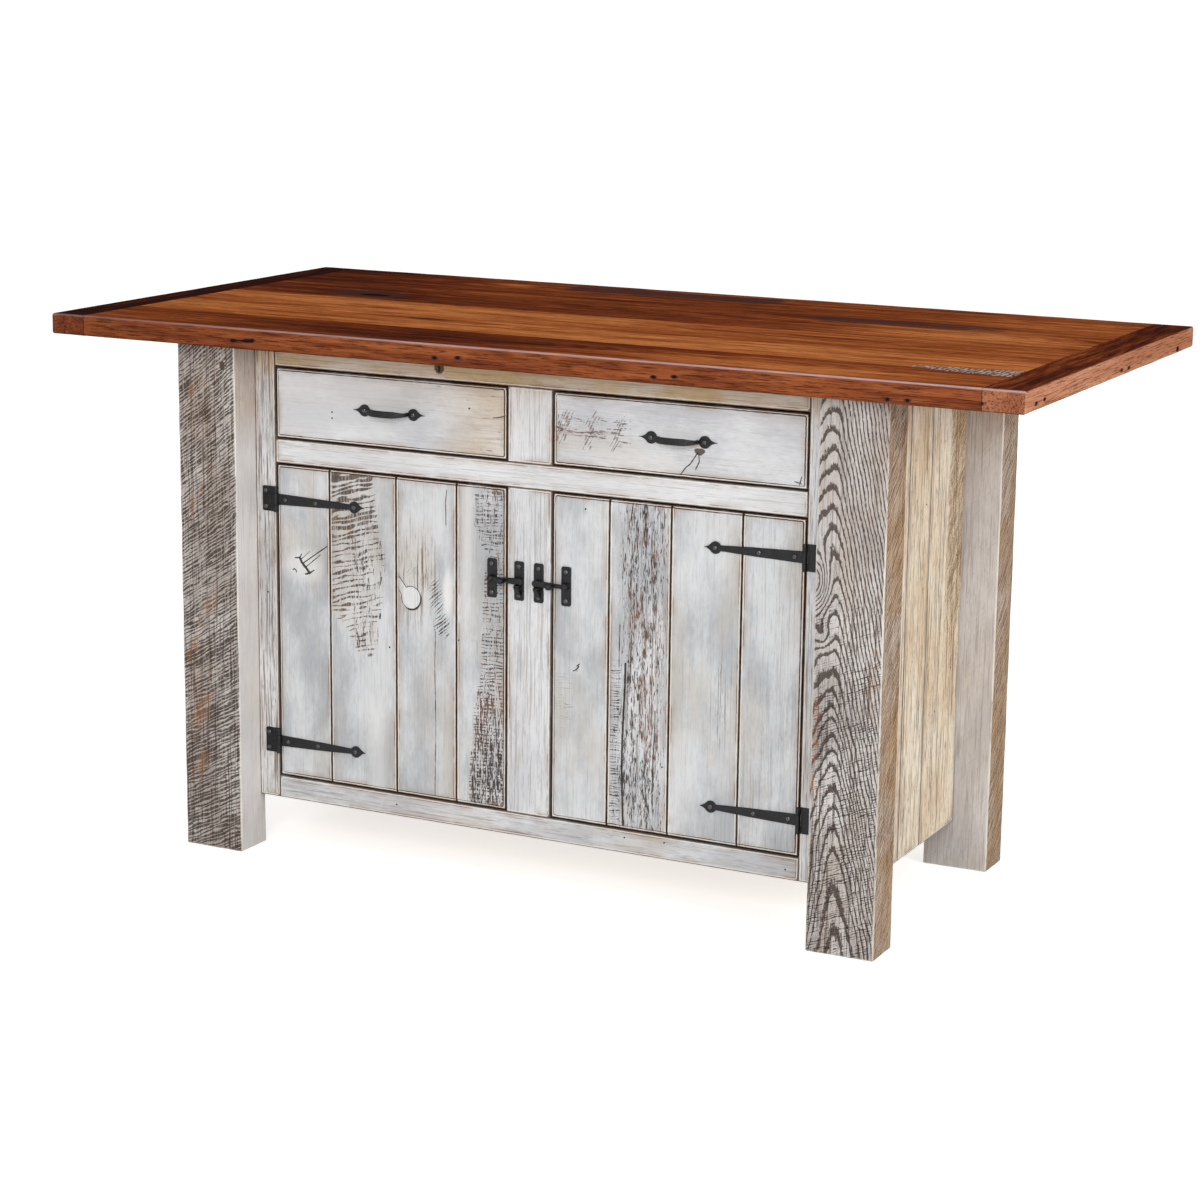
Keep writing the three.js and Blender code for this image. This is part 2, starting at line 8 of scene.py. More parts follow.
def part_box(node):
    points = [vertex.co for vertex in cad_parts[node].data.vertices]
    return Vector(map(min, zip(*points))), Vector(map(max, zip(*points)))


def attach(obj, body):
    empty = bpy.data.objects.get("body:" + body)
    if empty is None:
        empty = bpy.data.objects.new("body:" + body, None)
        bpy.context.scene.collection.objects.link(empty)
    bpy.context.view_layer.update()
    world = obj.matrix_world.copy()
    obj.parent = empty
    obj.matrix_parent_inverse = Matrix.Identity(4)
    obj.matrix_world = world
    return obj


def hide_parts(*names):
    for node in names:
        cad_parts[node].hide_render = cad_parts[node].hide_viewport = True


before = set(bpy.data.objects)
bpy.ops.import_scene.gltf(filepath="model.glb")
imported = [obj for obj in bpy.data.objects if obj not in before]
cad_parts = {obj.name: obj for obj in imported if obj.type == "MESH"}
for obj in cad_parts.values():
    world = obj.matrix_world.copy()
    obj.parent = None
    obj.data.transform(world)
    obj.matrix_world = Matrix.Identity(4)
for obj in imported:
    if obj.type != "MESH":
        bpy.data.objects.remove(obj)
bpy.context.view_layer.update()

MM = 0.001
ACROSS, BACK, UP = 0, 1, 2


# ---------------------------------------------------------------- posts
# Four posts of old rough-sawn timber, brushed with white paint that was rubbed back, so that saw marks,
# open grain and rust show dark through it. The top and the cabinet's frame and boards are fixed to them.

def shade(red, green, blue):
    """A colour written in display values from 0 to 255, as the shader wants it."""
    linear = [((c / 255 + 0.055) / 1.055) ** 2.4 if c > 10 else c / 255 / 12.92 for c in (red, green, blue)]
    return (*linear, 1.0)


class Value:
    """What one node of a material gives, which adds and multiplies like a plain number."""

    def __init__(self, finish, socket):
        self.finish, self.socket = finish, socket

    def __add__(self, other):
        return self.finish.math("ADD", self, other)

    def __sub__(self, number):
        return self + -number

    def __mul__(self, other):
        return self.finish.math("MULTIPLY", self, other)

    def __abs__(self):
        return self.finish.math("ABSOLUTE", self)

    def larger(self, other):
        return self.finish.math("MAXIMUM", self, other)

    def between(self, low, high, start=0.0, end=1.0):
        """start where the value is under low, end where it is over high, and smooth in between."""
        inputs = [("Value", self), ("From Min", low), ("From Max", high), ("To Min", start), ("To Max", end)]
        return self.finish.node("ShaderNodeMapRange", inputs, "Result", interpolation_type="SMOOTHSTEP")


class Finish:
    """A material written as patterns whose colours are laid over each other."""

    def __init__(self, name, roughness, specular):
        self.material = bpy.data.materials.new(name)
        self.material.use_nodes = True
        self.tree = self.material.node_tree
        self.shader = self.tree.nodes["Principled BSDF"]
        self.shader.inputs["Roughness"].default_value = roughness
        self.shader.inputs["Specular IOR Level"].default_value = specular

    def node(self, kind, inputs=(), output=0, **settings):
        """What a new shader node gives, with its inputs and settings put in."""
        made = self.tree.nodes.new(kind)
        for key, value in settings.items():
            setattr(made, key, value)
        for socket, value in inputs:
            self.put(value, made.inputs[socket])
        return Value(self, made.outputs[output])

    def put(self, value, socket):
        if isinstance(value, Value):
            self.tree.links.new(value.socket, socket)
        else:
            socket.default_value = value

    def attribute(self, name, output="Fac"):
        return self.node("ShaderNodeAttribute", output=output, attribute_name=name)

    def math(self, operation, first, second=0.0):
        return self.node("ShaderNodeMath", [(0, first), (1, second)], operation=operation)

    def scaled(self, place, paces):
        return self.node("ShaderNodeVectorMath", [(0, place), (1, paces)], operation="MULTIPLY")

    def noise(self, place, paces, detail=3.0, rough=0.55, offset=None, twist=0.0):
        """Clouds from 0 to 1, with their own pace in each direction, from a different part when offset."""
        if offset:
            place = self.node("ShaderNodeVectorMath", [(0, place), (1, offset)], operation="ADD")
        inputs = [("Vector", self.scaled(place, paces)), ("Scale", 1.0), ("Detail", detail)]
        inputs += [("Roughness", rough), ("Distortion", twist)]
        return self.node("ShaderNodeTexNoise", inputs, "Fac")

    def part(self, place, axis):
        return self.node("ShaderNodeSeparateXYZ", [("Vector", place)], axis)

    def stripes(self, value):
        """0 in the middle of each whole step of a value, and 0.5 halfway between two."""
        return abs(self.math("FRACT", value) - 0.5)

    def over(self, under, amount, upper):
        """The upper colour laid over the under one by an amount from 0 to 1."""
        inputs = [(0, amount), (6, under), (7, upper)]
        return self.node("ShaderNodeMix", inputs, 2, data_type="RGBA", clamp_factor=True)

    def lay(self, amount, upper):
        """Lays a colour over all that were laid before it."""
        self.colour = self.over(self.colour, amount, upper)

    def done(self, height, depth):
        """The finished material, with a bump whose height of 1 stands this many metres proud."""
        inputs = [("Height", height), ("Distance", depth), ("Strength", 1.0)]
        self.put(self.node("ShaderNodeBump", inputs, "Normal"), self.shader.inputs["Normal"])
        self.put(self.colour, self.shader.inputs["Base Color"])
        return self.material


def waves(a, b, seed, count=5):
    """Smooth waviness from -1 to 1 over the plane of a and b, one wave a unit apart."""
    rng = np.random.default_rng(seed)
    total = np.zeros_like(a)
    for _ in range(count):
        angle, phase, pace = rng.uniform(0, 2 * math.pi, 2).tolist() + [rng.uniform(0.6, 1.7)]
        total += np.sin(2 * math.pi * pace * (a * math.cos(angle) + b * math.sin(angle)) + phase)
    return total / count


def smooth(t):
    """Eases a share of 0 to 1 at both its ends."""
    t = np.clip(t, 0, 1)
    return t * t * (3 - 2 * t)


def oval(a, b, centre, size, soft=0.4, turn=0.0):
    """1 inside an oval of that half size, in metres, fading to 0 over the soft share of it."""
    c, s = math.cos(turn), math.sin(turn)
    da, db = a - centre[0], b - centre[1]
    reach = np.hypot((da * c + db * s) / size[0], (db * c - da * s) / size[1])
    return smooth((1 + soft - reach) / (2 * soft))


def within(a, low, high, soft):
    """1 between two values, fading to 0 over the soft distance on each side."""
    return smooth((a - low) / soft + 0.5) * smooth((high - a) / soft + 0.5)


def line_distance(a, b, points):
    """Distance in metres from each place to a line through the points."""
    nearest = np.full_like(a, 1.0)
    for (a0, b0), (a1, b1) in zip(points, points[1:]):
        da, db = a1 - a0, b1 - b0
        t = np.clip(((a - a0) * da + (b - b0) * db) / (da * da + db * db), 0, 1)
        nearest = np.minimum(nearest, np.hypot(a - a0 - t * da, b - b0 - t * db))
    return nearest


def lattice(low, high, step, eases, fine):
    """Places for the mesh lines along one side of a board: close together over its two eased edges, and in
    the fine stretches, each given as (from, to, step)."""
    shares = np.array([0, 0.3, 0.62, 1, 1.7])
    first, last = low + eases[0] * shares, (high - eases[1] * shares)[::-1]
    middle = max(1, round((last[0] - first[-1]) / step))
    lines = np.linspace(first[-1], last[0], middle + 1)[1:-1]
    for start, stop, pace in fine:
        inside = np.arange(max(start, first[-1] + pace), min(stop, last[0] - pace), pace)
        lines = np.concatenate([lines[(lines < start - 0.3 * pace) | (lines > stop + 0.3 * pace)], inside])
    return np.concatenate([first, np.sort(lines), last])


LIP_WIDTH, LIP_DEPTH, LIP_CORNER = 4.2 * MM, 1.1 * MM, 7 * MM
FAR_OFF = 0.05


class Board:
    """A sawn board as a closed mesh, with its grain and its marks held at the vertices for its finish.
    rounded lists the outer edges with a larger radius, and lips those with a routed lip round the front."""

    def __init__(self, name, low, high, grain_axis, ease, step, seed, rounded=(), rounding=0.0, lips=(),
                 fine=None):
        self.name, self.low, self.high = name, np.array(low, float), np.array(high, float)
        self.along, self.seed, self.lips = grain_axis, seed, lips
        eases = np.full((3, 2), ease)
        for axis, sign in rounded:
            eases[axis, (sign + 1) // 2] = rounding
            eases[UP] = rounding
        stretches = {axis: list((fine or {}).get(axis, [])) for axis in (ACROSS, BACK, UP)}
        for axis, sign in lips:
            start = self.low[axis] + 3.3 * MM if sign < 0 else self.high[axis] - 5.9 * MM
            stretches[axis].append((start, start + 2.6 * MM, 0.42 * MM))
        lines = [lattice(self.low[i], self.high[i], step, eases[i], stretches[i]) for i in range(3)]
        sizes = [len(highlight_band) for highlight_band in lines]
        ends = {(axis, end): (slice(None),) * axis + (end,) for axis in range(3) for end in (0, -1)}
        index = np.full(sizes, -1)
        skin = np.zeros(sizes, bool)
        for sheet in ends.values():
            skin[sheet] = True
        index[skin] = np.arange(skin.sum())
        self.places = np.stack([lines[i][np.nonzero(skin)[i]] for i in range(3)], 1)
        self.x, self.y, self.z = self.places.T
        self.front, self.top = self.facing(BACK, -1), self.facing(UP, 1)
        self.radius = np.full(self.places.shape, ease)
        for axis, sign in rounded:
            place = self.places[:, axis]
            inward = self.high[axis] - place if sign > 0 else place - self.low[axis]
            for across in (axis, UP):
                self.radius[inward < 1.8 * rounding, across] = rounding
        faces = []
        for (axis, end), sheet in ends.items():
            at = index[sheet]
            quads = np.stack([at[:-1, :-1], at[1:, :-1], at[1:, 1:], at[:-1, 1:]], -1).reshape(-1, 4)
            faces.append(quads if (end == -1) == (axis != BACK) else quads[:, ::-1])
        self.faces = np.concatenate(faces)
        self.carved = np.zeros(len(self.places))
        self.marks = {}
        self.lay_grain()
        self.measure_edges()

    def lay_grain(self):
        """Grain coordinates, and the growth rings of a tree laid through the board."""
        rng = np.random.default_rng(self.seed)
        x = self.places
        across, deep = [i for i in (0, 1, 2) if i != self.along]
        u, v, w = x[:, self.along], x[:, across], x[:, deep]
        if self.high[across] - self.low[across] < self.high[deep] - self.low[deep]:
            v, w = w, v
        self.u, self.v, self.w = u, v, w
        heart_v = rng.uniform(-0.04, 0.04) + v.mean()
        heart_w = w.min() - rng.uniform(0.02, 0.07)
        lean = rng.uniform(-0.05, 0.05)
        sway = 0.006 * waves(u * 1.5, u * 0.7, self.seed + 11)
        rings = np.hypot(v - heart_v - sway, w - heart_w + lean * (u - u.mean()) + 2 * sway)
        self.marks["rings"] = rings / 0.006
        offset = rng.uniform(-9, 9, 3)
        self.marks["grain"] = np.stack([u + offset[0], v + offset[1], w + offset[2]], 1)
        self.marks["cut"] = self.marks["grain"].copy()

    def measure_edges(self):
        """Distance to the nearest edge, to the nearest plain edge, and to the nearest lipped edge."""
        x = self.places
        sides = np.stack([x - self.low, self.high - x], 2)
        self.marks["edge"] = np.sort(sides.reshape(len(x), 6), 1)[:, 1]
        plain = sides.copy()
        near = []
        for axis, sign in self.lips:
            plain[:, axis, (sign + 1) // 2] = FAR_OFF
            near.append(sides[:, axis, (sign + 1) // 2])
        self.marks["seam"] = np.sort(plain.reshape(len(x), 6), 1)[:, 1]
        self.marks["lip"] = np.full(len(x), FAR_OFF)
        if near:
            close = np.sort(np.stack(near + [np.full(len(x), FAR_OFF)], 1), 1)
            corner = LIP_CORNER - np.hypot(*(np.maximum(LIP_CORNER - close[:, i], 0) for i in (0, 1)))
            self.marks["lip"] = np.where(close[:, 1] < LIP_CORNER, corner, close[:, 0])

    def sawn(self, angle, pitch):
        """Lays saw strokes across the board, rising from square to the grain by an angle, a pitch apart."""
        round_it = self.v + self.w
        round_it = round_it - round_it.mean()
        along = self.u * np.sin(angle) + round_it * np.cos(angle)
        across = round_it * np.tan(angle) - self.u
        self.marks["cut"] = np.stack([along / pitch, across / pitch, self.u * 0 + self.seed], 1)

    def facing(self, axis, sign):
        """True at the vertices on one face of the board."""
        edge = self.low[axis] if sign < 0 else self.high[axis]
        return np.abs(self.places[:, axis] - edge) < 1e-6

    def mark(self, name, values):
        """Adds to one of the marks, which stay between 0 and 1."""
        self.marks[name] = np.clip(self.marks[name] + values, 0, 1)

    def spot(self, name, strength, centre, size, soft=0.4):
        """Adds an oval spot of one of the marks, at a place seen from the front."""
        self.mark(name, strength * oval(self.x, self.z, centre, size, soft))

    def crack(self, points, width, depth):
        """A crack along points on the front: width is that of its dark part, and both are in millimetres."""
        away = line_distance(self.x, self.z, points) - width * MM / 2
        away = np.where(self.front, away, FAR_OFF)
        self.marks["crack"] = np.minimum(self.marks["crack"], away)
        self.carved += depth * MM * smooth(-away / (width * MM) + 0.5)

    def build(self, material, wear=0.35, relief=0.4 * MM):
        """Makes the mesh: edges eased by varying amounts, faces a little uneven, and the marks carved in."""
        x = self.places
        turns = waves(self.u * 9, (self.v + self.w) * 14, self.seed + 5)
        radius = self.radius * (1 - wear * 0.5 + wear * 0.5 * turns)[:, None]
        inner = np.clip(x, self.low + radius, self.high - radius)
        out = (x - inner) / radius
        normal = out / np.maximum(np.linalg.norm(out, axis=1, keepdims=True), 1e-9)
        eased = inner + normal * radius
        uneven = waves(self.u * 11, (self.v + self.w) * 24, self.seed + 3)
        hollow = relief * (0.5 + 0.5 * uneven) + self.carved
        eased = eased - normal * hollow[:, None]
        behind_front = np.clip(1 - (x[:, BACK] - self.low[BACK]) / (6 * MM), 0, 1)
        step_back = 1 - smooth((self.marks["lip"] - LIP_WIDTH) / (0.9 * MM))
        quirk = np.exp(-(((self.marks["lip"] - LIP_WIDTH) / (0.35 * MM)) ** 2))
        eased[:, BACK] += behind_front * (LIP_DEPTH * step_back + 0.4 * MM * quirk)
        mesh = bpy.data.meshes.new(self.name)
        mesh.vertices.add(len(eased))
        mesh.vertices.foreach_set("co", eased.astype(np.float32).ravel())
        mesh.loops.add(self.faces.size)
        mesh.loops.foreach_set("vertex_index", self.faces.astype(np.int32).ravel())
        mesh.polygons.add(len(self.faces))
        mesh.polygons.foreach_set("loop_start", np.arange(0, self.faces.size, 4, dtype=np.int32))
        mesh.polygons.foreach_set("use_smooth", np.ones(len(self.faces), bool))
        mesh.update(calc_edges=True)
        for key, values in self.marks.items():
            vector = values.ndim == 2
            layer = mesh.attributes.new(key, "FLOAT_VECTOR" if vector else "FLOAT", "POINT")
            layer.data.foreach_set("vector" if vector else "value", values.astype(np.float32).ravel())
        mesh.materials.append(material)
        piece = bpy.data.objects.new(self.name, mesh)
        bpy.context.scene.collection.objects.link(piece)
        return piece


def fit(piece, body, slot, *nodes):
    """Gives a finished piece its body and hides the construction nodes it stands for; the slot is not used."""
    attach(piece, body)
    if nodes:
        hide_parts(*nodes)
    return piece


def limed_wood(name, roughness, *colours):
    """Painted and rubbed-back wood: pale ground, open grain, saw marks, worm pits, cracks and glazed edges.
    The marks come from the board's vertices, and the fine detail in them from noise along the grain."""
    wood = Finish(name, roughness, 0.1)
    white, grey, warm, tan = (shade(*colour) for colour in colours)
    grain, cut = wood.attribute("grain", "Vector"), wood.attribute("cut", "Vector")
    marks = ("tone", "rust", "open", "saw", "pits", "stain", "bare", "bands", "rings", "crack", "glaze")
    tone, rust, open_grain, saw, pits, stain, bare, bands, rings, crack, glaze = map(wood.attribute, marks)
    # ground: cloudy white paint, thinner and greyer in places, or tan where it was stained
    cloud = wood.noise(grain, (6, 11, 11), 4)
    streak = wood.noise(grain, (7, 80, 80), 4, 0.66, (3, 1, 0))
    mottle = wood.noise(grain, (70, 150, 150), 4, 0.75, (8, 3, 1))
    thin = wood.noise(grain, (4, 12, 12), 4, 0.6, (1, 5, 0))
    level = cloud * 0.74 + streak * 0.07 + mottle * 0.19
    wood.colour = wood.over(white, level.between(0.38, 0.62), grey)
    wood.lay(thin.between(0.48, 0.7) * 0.6, warm)
    wood.lay(tone, wood.over(wood.over(white, 0.5, tan), level.between(0.4, 0.6), tan))
    # open grain: long thin lines, and shorter hairs between them
    fibre = wood.noise(grain, (7, 330, 330), 3, 0.6, (5, 2, 1))
    hair = wood.noise(grain, (34, 520, 520), 3, 0.65, (2, 7, 1))
    dark_line = wood.over(shade(104, 92, 85), tone, shade(134, 100, 66))
    lines = fibre.between(0.545, 0.62) * (open_grain * 0.95)
    hairs = hair.between(0.54, 0.64) * (open_grain * 0.66 + 0.08)
    wood.lay(lines, dark_line)
    wood.lay(hairs, dark_line)
    # growth rings, faint under stain, and cut deep and porous where the marks say bands
    drift = wood.noise(grain, (22, 70, 70), 3, 0.6)
    phase = wood.math("FRACT", rings + (drift - 0.5) * 0.8)
    ring = phase.between(0.02, 0.12) * phase.between(0.2, 0.72, 1.0, 0.0)
    wood.lay(ring * tone * fibre.between(0.4, 0.55) * 0.3, shade(168, 132, 92))
    speck = wood.noise(grain, (150, 480, 480), 3, 0.72)
    patchy = wood.noise(grain, (9, 14, 14), 4, 0.65, (6, 1, 2))
    earlywood = (ring * 0.42 + speck + (patchy - 0.5) * 0.3).between(0.73, 0.82) * bands
    rusty = wood.noise(grain, (26, 90, 90), 5, 0.75)
    orange = (rusty + rust * 0.2).between(0.67, 0.74)
    wood.lay(orange * 0.36, shade(150, 104, 66))
    wood.lay(earlywood * 0.9, wood.over(shade(70, 58, 53), orange, shade(150, 86, 48)))
    # saw marks: strokes a pitch apart, of uneven strength, broken where they cross the grain
    strength = wood.noise(cut, (0.1, 0.7, 1), 2, 0.6)
    groups = wood.noise(cut, (0.05, 0.17, 1), 2, 0.5, (3, 1, 2))
    ragged = wood.noise(cut, (1.5, 4.5, 1), 3, 0.65)
    wobble = wood.noise(cut, (0.16, 0.5, 1), 2)
    stripe = wood.stripes(wood.part(cut, 1) + wobble * 2.3)
    stroke = stripe + (ragged - 0.5) * 0.42 + (strength - 0.5) * -0.75 - 0.25 + groups * -0.5 + saw * -0.32
    stroke = stroke.between(-0.6, -0.48, 1.0, 0.0) * saw.between(0.02, 0.25)
    broken = wood.noise(grain, (24, 330, 330), 3, 0.65, (4, 4, 4)) + pits * -0.06
    stroke = stroke * broken.between(0.42, 0.5, saw * 0.62 + pits * -0.5, 1.0)
    brown = (rusty + rust * 0.3).between(0.62, 0.74)
    saw_colour = wood.over(shade(54, 45, 41), brown, shade(122, 82, 50))
    wood.lay(stroke * 0.9, wood.over(saw_colour, tone * 0.85, shade(120, 86, 54)))
    # worm-eaten pits in clusters, with reddish smears round them
    hole = wood.noise(grain, (66, 430, 430), 3, 0.65, (0, 4, 2))
    cluster = wood.noise(grain, (16, 120, 120), 3, 0.6, (2, 2, 2))
    pit = (hole + pits * 0.2 + (cluster - 0.5) * 0.5).between(0.69, 0.74) * pits.between(0.02, 0.2)
    smear = pits * cluster.between(0.44, 0.66) * patchy.between(0.36, 0.6)
    wood.lay(smear * 0.75, shade(154, 124, 110))
    wood.lay(pit * 0.9, wood.over(shade(60, 46, 41), patchy.between(0.46, 0.62), shade(124, 84, 66)))
    # smooth white places, such as a filled hole or the wood round a knot
    wood.lay(bare * streak.between(0.2, 0.5, 0.7, 1.0), shade(226, 225, 224))
    # dark stain in patches and knots, and cracks
    wood.lay((stain + (hole - 0.5) * 1.3).between(0.34, 0.6) * 0.9, shade(74, 54, 40))
    fray = wood.noise(grain, (90, 220, 220)) - 0.5
    crack = (crack + fray * (1.6 * MM)).between(-0.2 * MM, 0.6 * MM, 1.0, 0.0)
    wood.lay(crack * 0.95, shade(46, 36, 31))
    # edges: brown glaze left in the seams, with painted shade of the gaps; a painted highlight beside it, where
    # the eased edge and the lip would catch the light; and worn white corners
    glaze, worn = glaze.larger(0.0), (glaze * -1.0).larger(0.0)
    edge, seam, lip = (wood.attribute(kind) + fray * (1.4 * MM) for kind in ("edge", "seam", "lip"))
    broad = edge.between(1 * MM, 17 * MM, 1.0, 0.0) * patchy.between(0.4, 0.62)
    wood.lay(glaze * broad * 0.5, shade(152, 130, 106))
    # painted highlight where the eased edge and the lip would catch the light
    edge_highlight = seam.between(1.2 * MM, 2 * MM) * seam.between(3.2 * MM, 4.2 * MM, 1.0, 0.0)
    edge_highlight = edge_highlight.larger(lip.between(2.8 * MM, 4 * MM, 1.0, 0.0))
    wood.lay(glaze * edge_highlight * 0.75, shade(226, 219, 208))
    # thin brown lines: glaze along the inner side of a plain ease, and in the quirk of a lip, where it is also
    # painted shade of the quirk's step
    inner = abs(seam - 4.4 * MM).between(0.3 * MM, 1 * MM, 1.0, 0.0) * patchy.between(0.46, 0.6) * 0.7
    quirk = abs(lip - 4.3 * MM).between(0.5 * MM, 1.3 * MM, 1.0, 0.0) * patchy.between(0.34, 0.52, 0.5, 0.95)
    wood.lay(glaze * inner.larger(quirk), shade(76, 52, 38))
    # the dark line at the very edge: brown glaze, and painted shade of the gap beside the piece
    outer = edge.between(1 * MM, 2.2 * MM, 1.0, 0.0) * patchy.between(0.3, 0.52, 0.75, 1.0)
    wood.lay(glaze * outer, wood.over(shade(40, 28, 22), patchy.between(0.44, 0.6), shade(92, 62, 42)))
    corner = edge.between(1.2 * MM, 3.6 * MM, 1.0, 0.0) * patchy.between(0.36, 0.5)
    wood.lay(worn * corner * 0.9, shade(228, 222, 212))
    height = lines * -0.5 + hairs * -0.3 + stroke * -0.7 + pit * -0.9
    height = height + earlywood * -0.55 + crack * -1.0 + mottle * 0.4
    return wood.done(height, 0.8 * MM)


LEG_EASE = 3 * MM
FRONT_POST_STEP, REAR_POST_STEP = 3 * MM, 4.5 * MM
rough_whitewash = limed_wood(
    "rough_whitewash", 0.85,
    (200, 195, 191), (164, 157, 153), (172, 152, 136), (186, 156, 122),
)


def shaded_gap_sides(board):
    """The sides of a piece that look into a gap get the dark edge colour: brown glaze, and painted shade that
    keeps the gap dark.
    """
    for axis in (ACROSS, UP):
        for sign in (-1, 1):
            board.marks["edge"] = np.where(board.facing(axis, sign), 0.0, board.marks["edge"])


def blank(board, **values):
    """Sets each mark that the finish reads, to nothing unless a value is given."""
    nothing = {"glaze": 1.0, "crack": FAR_OFF}
    for key in ("saw", "pits", "rust", "tone", "bands", "stain", "open", "bare", "glaze", "crack"):
        board.marks[key] = np.full(len(board.places), values.get(key, nothing.get(key, 0.0)))


def diagonal_sawn(post):
    """Left front post: dense fine saw lines rising to the right over the grey front, with rust in streaks."""
    x, z = post.x, post.z
    shown, inner = post.front | post.facing(ACROSS, -1), post.facing(ACROSS, 1)
    lower, near_top = smooth((0.5 - z) / 0.3), smooth((z - 0.68) / 0.12)
    post.sawn(np.radians(24 + 15 * z / 0.88), 6.6 * MM)
    uneven = 0.5 + 0.5 * waves(x * 9, z * 6, 8)
    post.marks["saw"] = shown * (0.72 + 0.3 * uneven + 0.2 * lower + 0.2 * waves(x * 30, z * 16, 2))
    post.marks["open"] = np.where(shown, 0.8 + 0.2 * smooth((0.5 - z) / 0.4), 0.4)
    spots = ((-0.616, 0.792, 0.008, 0.03), (-0.610, 0.61, 0.012, 0.06), (-0.580, 0.444, 0.02, 0.03),
             (-0.616, 0.36, 0.016, 0.04), (-0.604, 0.24, 0.022, 0.04), (-0.604, 0.15, 0.02, 0.03))
    for cx, cz, half_width, half_height in spots:
        size = (half_width * 0.7, half_height * 1.1)
        post.mark("rust", shown * 0.8 * oval(x, z, (cx, cz), size, 0.9, -0.5))
    post.spot("stain", shown * 1.0, (-0.550, 0.842), (0.006, 0.008))
    # tan and less bare towards the top of the inner face: painted warm shade under the worktop
    post.marks["tone"] = np.where(inner, 0.12 + 0.5 * near_top, 0.1)
    post.marks["bare"] = inner * (0.55 - 0.3 * near_top)
    post.marks["open"] = np.where(inner, 0.4 + 0.5 * near_top, post.marks["open"])


def arched(post):
    """Right front post: porous dark growth bands, peaked one above the other, round an eye at the left."""
    x, z = post.x, post.z
    front, outer = post.front, post.facing(ACROSS, 1)
    peak_x = np.interp(z, (0.05, 0.25, 0.45, 0.8), (0.572, 0.565, 0.558, 0.551)) + 0.001 * np.sin(z * 60)
    aside = x - peak_x
    left = np.interp(z, (0.10, 0.25, 0.40), (5.0, 2.4, 1.5)) * (np.hypot(aside, 0.008) - 0.008)
    arch = z + np.where(aside > 0, 5.0 * (np.hypot(aside, 0.014) - 0.014), left)
    eye = 0.17 * np.exp(-(((x - 0.5275) / 0.015) ** 2 + ((z - 0.588) / 0.030) ** 2) / 2)
    under_eye = 0.05 * np.exp(-(((x - 0.543) / 0.012) ** 2 + ((z - 0.508) / 0.016) ** 2) / 2)
    sway = 0.004 * waves(x * 30, z * 14, 3) + 0.002 * waves(x * 90, z * 60, 5)
    peaks = [-0.4, 0.02, 0.092, 0.165, 0.198, 0.235, 0.262, 0.3, 0.326, 0.348, 0.377, 0.395, 0.419, 0.449]
    peaks += [0.49, 1.7]
    steps = [*range(len(peaks) - 1), len(peaks) + 38]
    rings = np.interp(arch + eye + under_eye + sway, peaks, steps)
    post.marks["rings"] = np.where(front, rings, post.marks["rings"])
    post.marks["bands"] = front * 1.0
    post.sawn(np.where(outer, math.radians(47), math.radians(22)), np.where(outer, 7.5 * MM, 4.2 * MM))
    below_eye = smooth((0.62 - z) / 0.1)
    scratched = 0.2 * smooth((0.50 - z) / 0.15) + 0.1 + 0.1 * below_eye
    post.marks["saw"] = np.where(front, scratched, np.where(outer, 0.85, 0.0))
    post.marks["tone"] = outer * 0.9
    post.marks["open"] = np.where(front, 0.45 + 0.4 * below_eye, 0.55)
    rust = oval(x, z, (0.529, 0.33), (0.009, 0.14), 0.7) + oval(x, z, (0.626, 0.47), (0.010, 0.09), 0.7)
    post.mark("rust", front * (rust + 0.5 * oval(x, z, (0.535, 0.80), (0.01, 0.02), 0.7)) + outer * 0.2)


def smooth_faced(post):
    """Rear posts: a smooth grey front, and tan sides with diagonal saw marks."""
    near_top = smooth((post.z - 0.62) / 0.2)
    sides = post.facing(ACROSS, 1) | post.facing(ACROSS, -1)
    post.sawn(math.radians(46), 7.5 * MM)
    post.marks["saw"] = sides * 0.85 + post.facing(BACK, 1) * 0.4 + post.front * 0.1
    # the front grows tan and less bare towards the top: painted warm shade under the worktop
    post.marks["tone"] = np.where(sides, 0.85, 0.1 + 0.5 * near_top)
    post.marks["open"] = np.where(sides, 0.25, 0.6)
    post.marks["bare"] = post.front * (0.3 - 0.15 * near_top)
    post.marks["rust"] = sides * 0.2


ROUND_EYE = {ACROSS: [(0.5265, 0.566, 1.4 * MM)], UP: [(0.48, 0.66, 1.8 * MM)]}
POSTS = (
    ("front_left", diagonal_sawn, 21, FRONT_POST_STEP, None),
    ("front_right", arched, 22, FRONT_POST_STEP, ROUND_EYE),
    ("rear_left", smooth_faced, 23, REAR_POST_STEP, None),
    ("rear_right", smooth_faced, 24, REAR_POST_STEP, None),
)
for label, marked, seed, step, fine in POSTS:
    post = Board(f"post_{label}", *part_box(f"leg_{label}"), UP, LEG_EASE, step, seed, fine=fine)
    blank(post, glaze=-0.9)
    marked(post)
    fit(post.build(rough_whitewash, 0.5, 0.9 * MM), "case", "rough_whitewash", f"leg_{label}")


# ---------------------------------------------------------------- side and back boards
# Upright tongued boards with a V groove at each seam, stained tan over thin white, held between the posts
# and fixed to the cleats, the floor and the deck behind them.

BOARD_EASE = 1.6 * MM
SIDE_BOARD_WIDTHS = (91, 91, 97, 159)
BACK_BOARD_WIDTHS = (128, 141, 119, 137, 126, 144, 121, 135)
tan_boards = limed_wood(
    "tan_boards", 0.75,
    (245, 235, 216), (230, 215, 192), (230, 206, 176), (222, 195, 158),
)


def boards_in(low, high, axis, widths, gap=0.0):
    """Corners of upright boards that fill a panel from its low to its high side in those proportions."""
    room = high[axis] - low[axis] - gap * (len(widths) - 1)
    start = low[axis]
    for width in widths:
        first, last = low.copy(), high.copy()
        first[axis] = start
        last[axis] = start + room * width / sum(widths)
        start = last[axis] + gap
        yield first, last


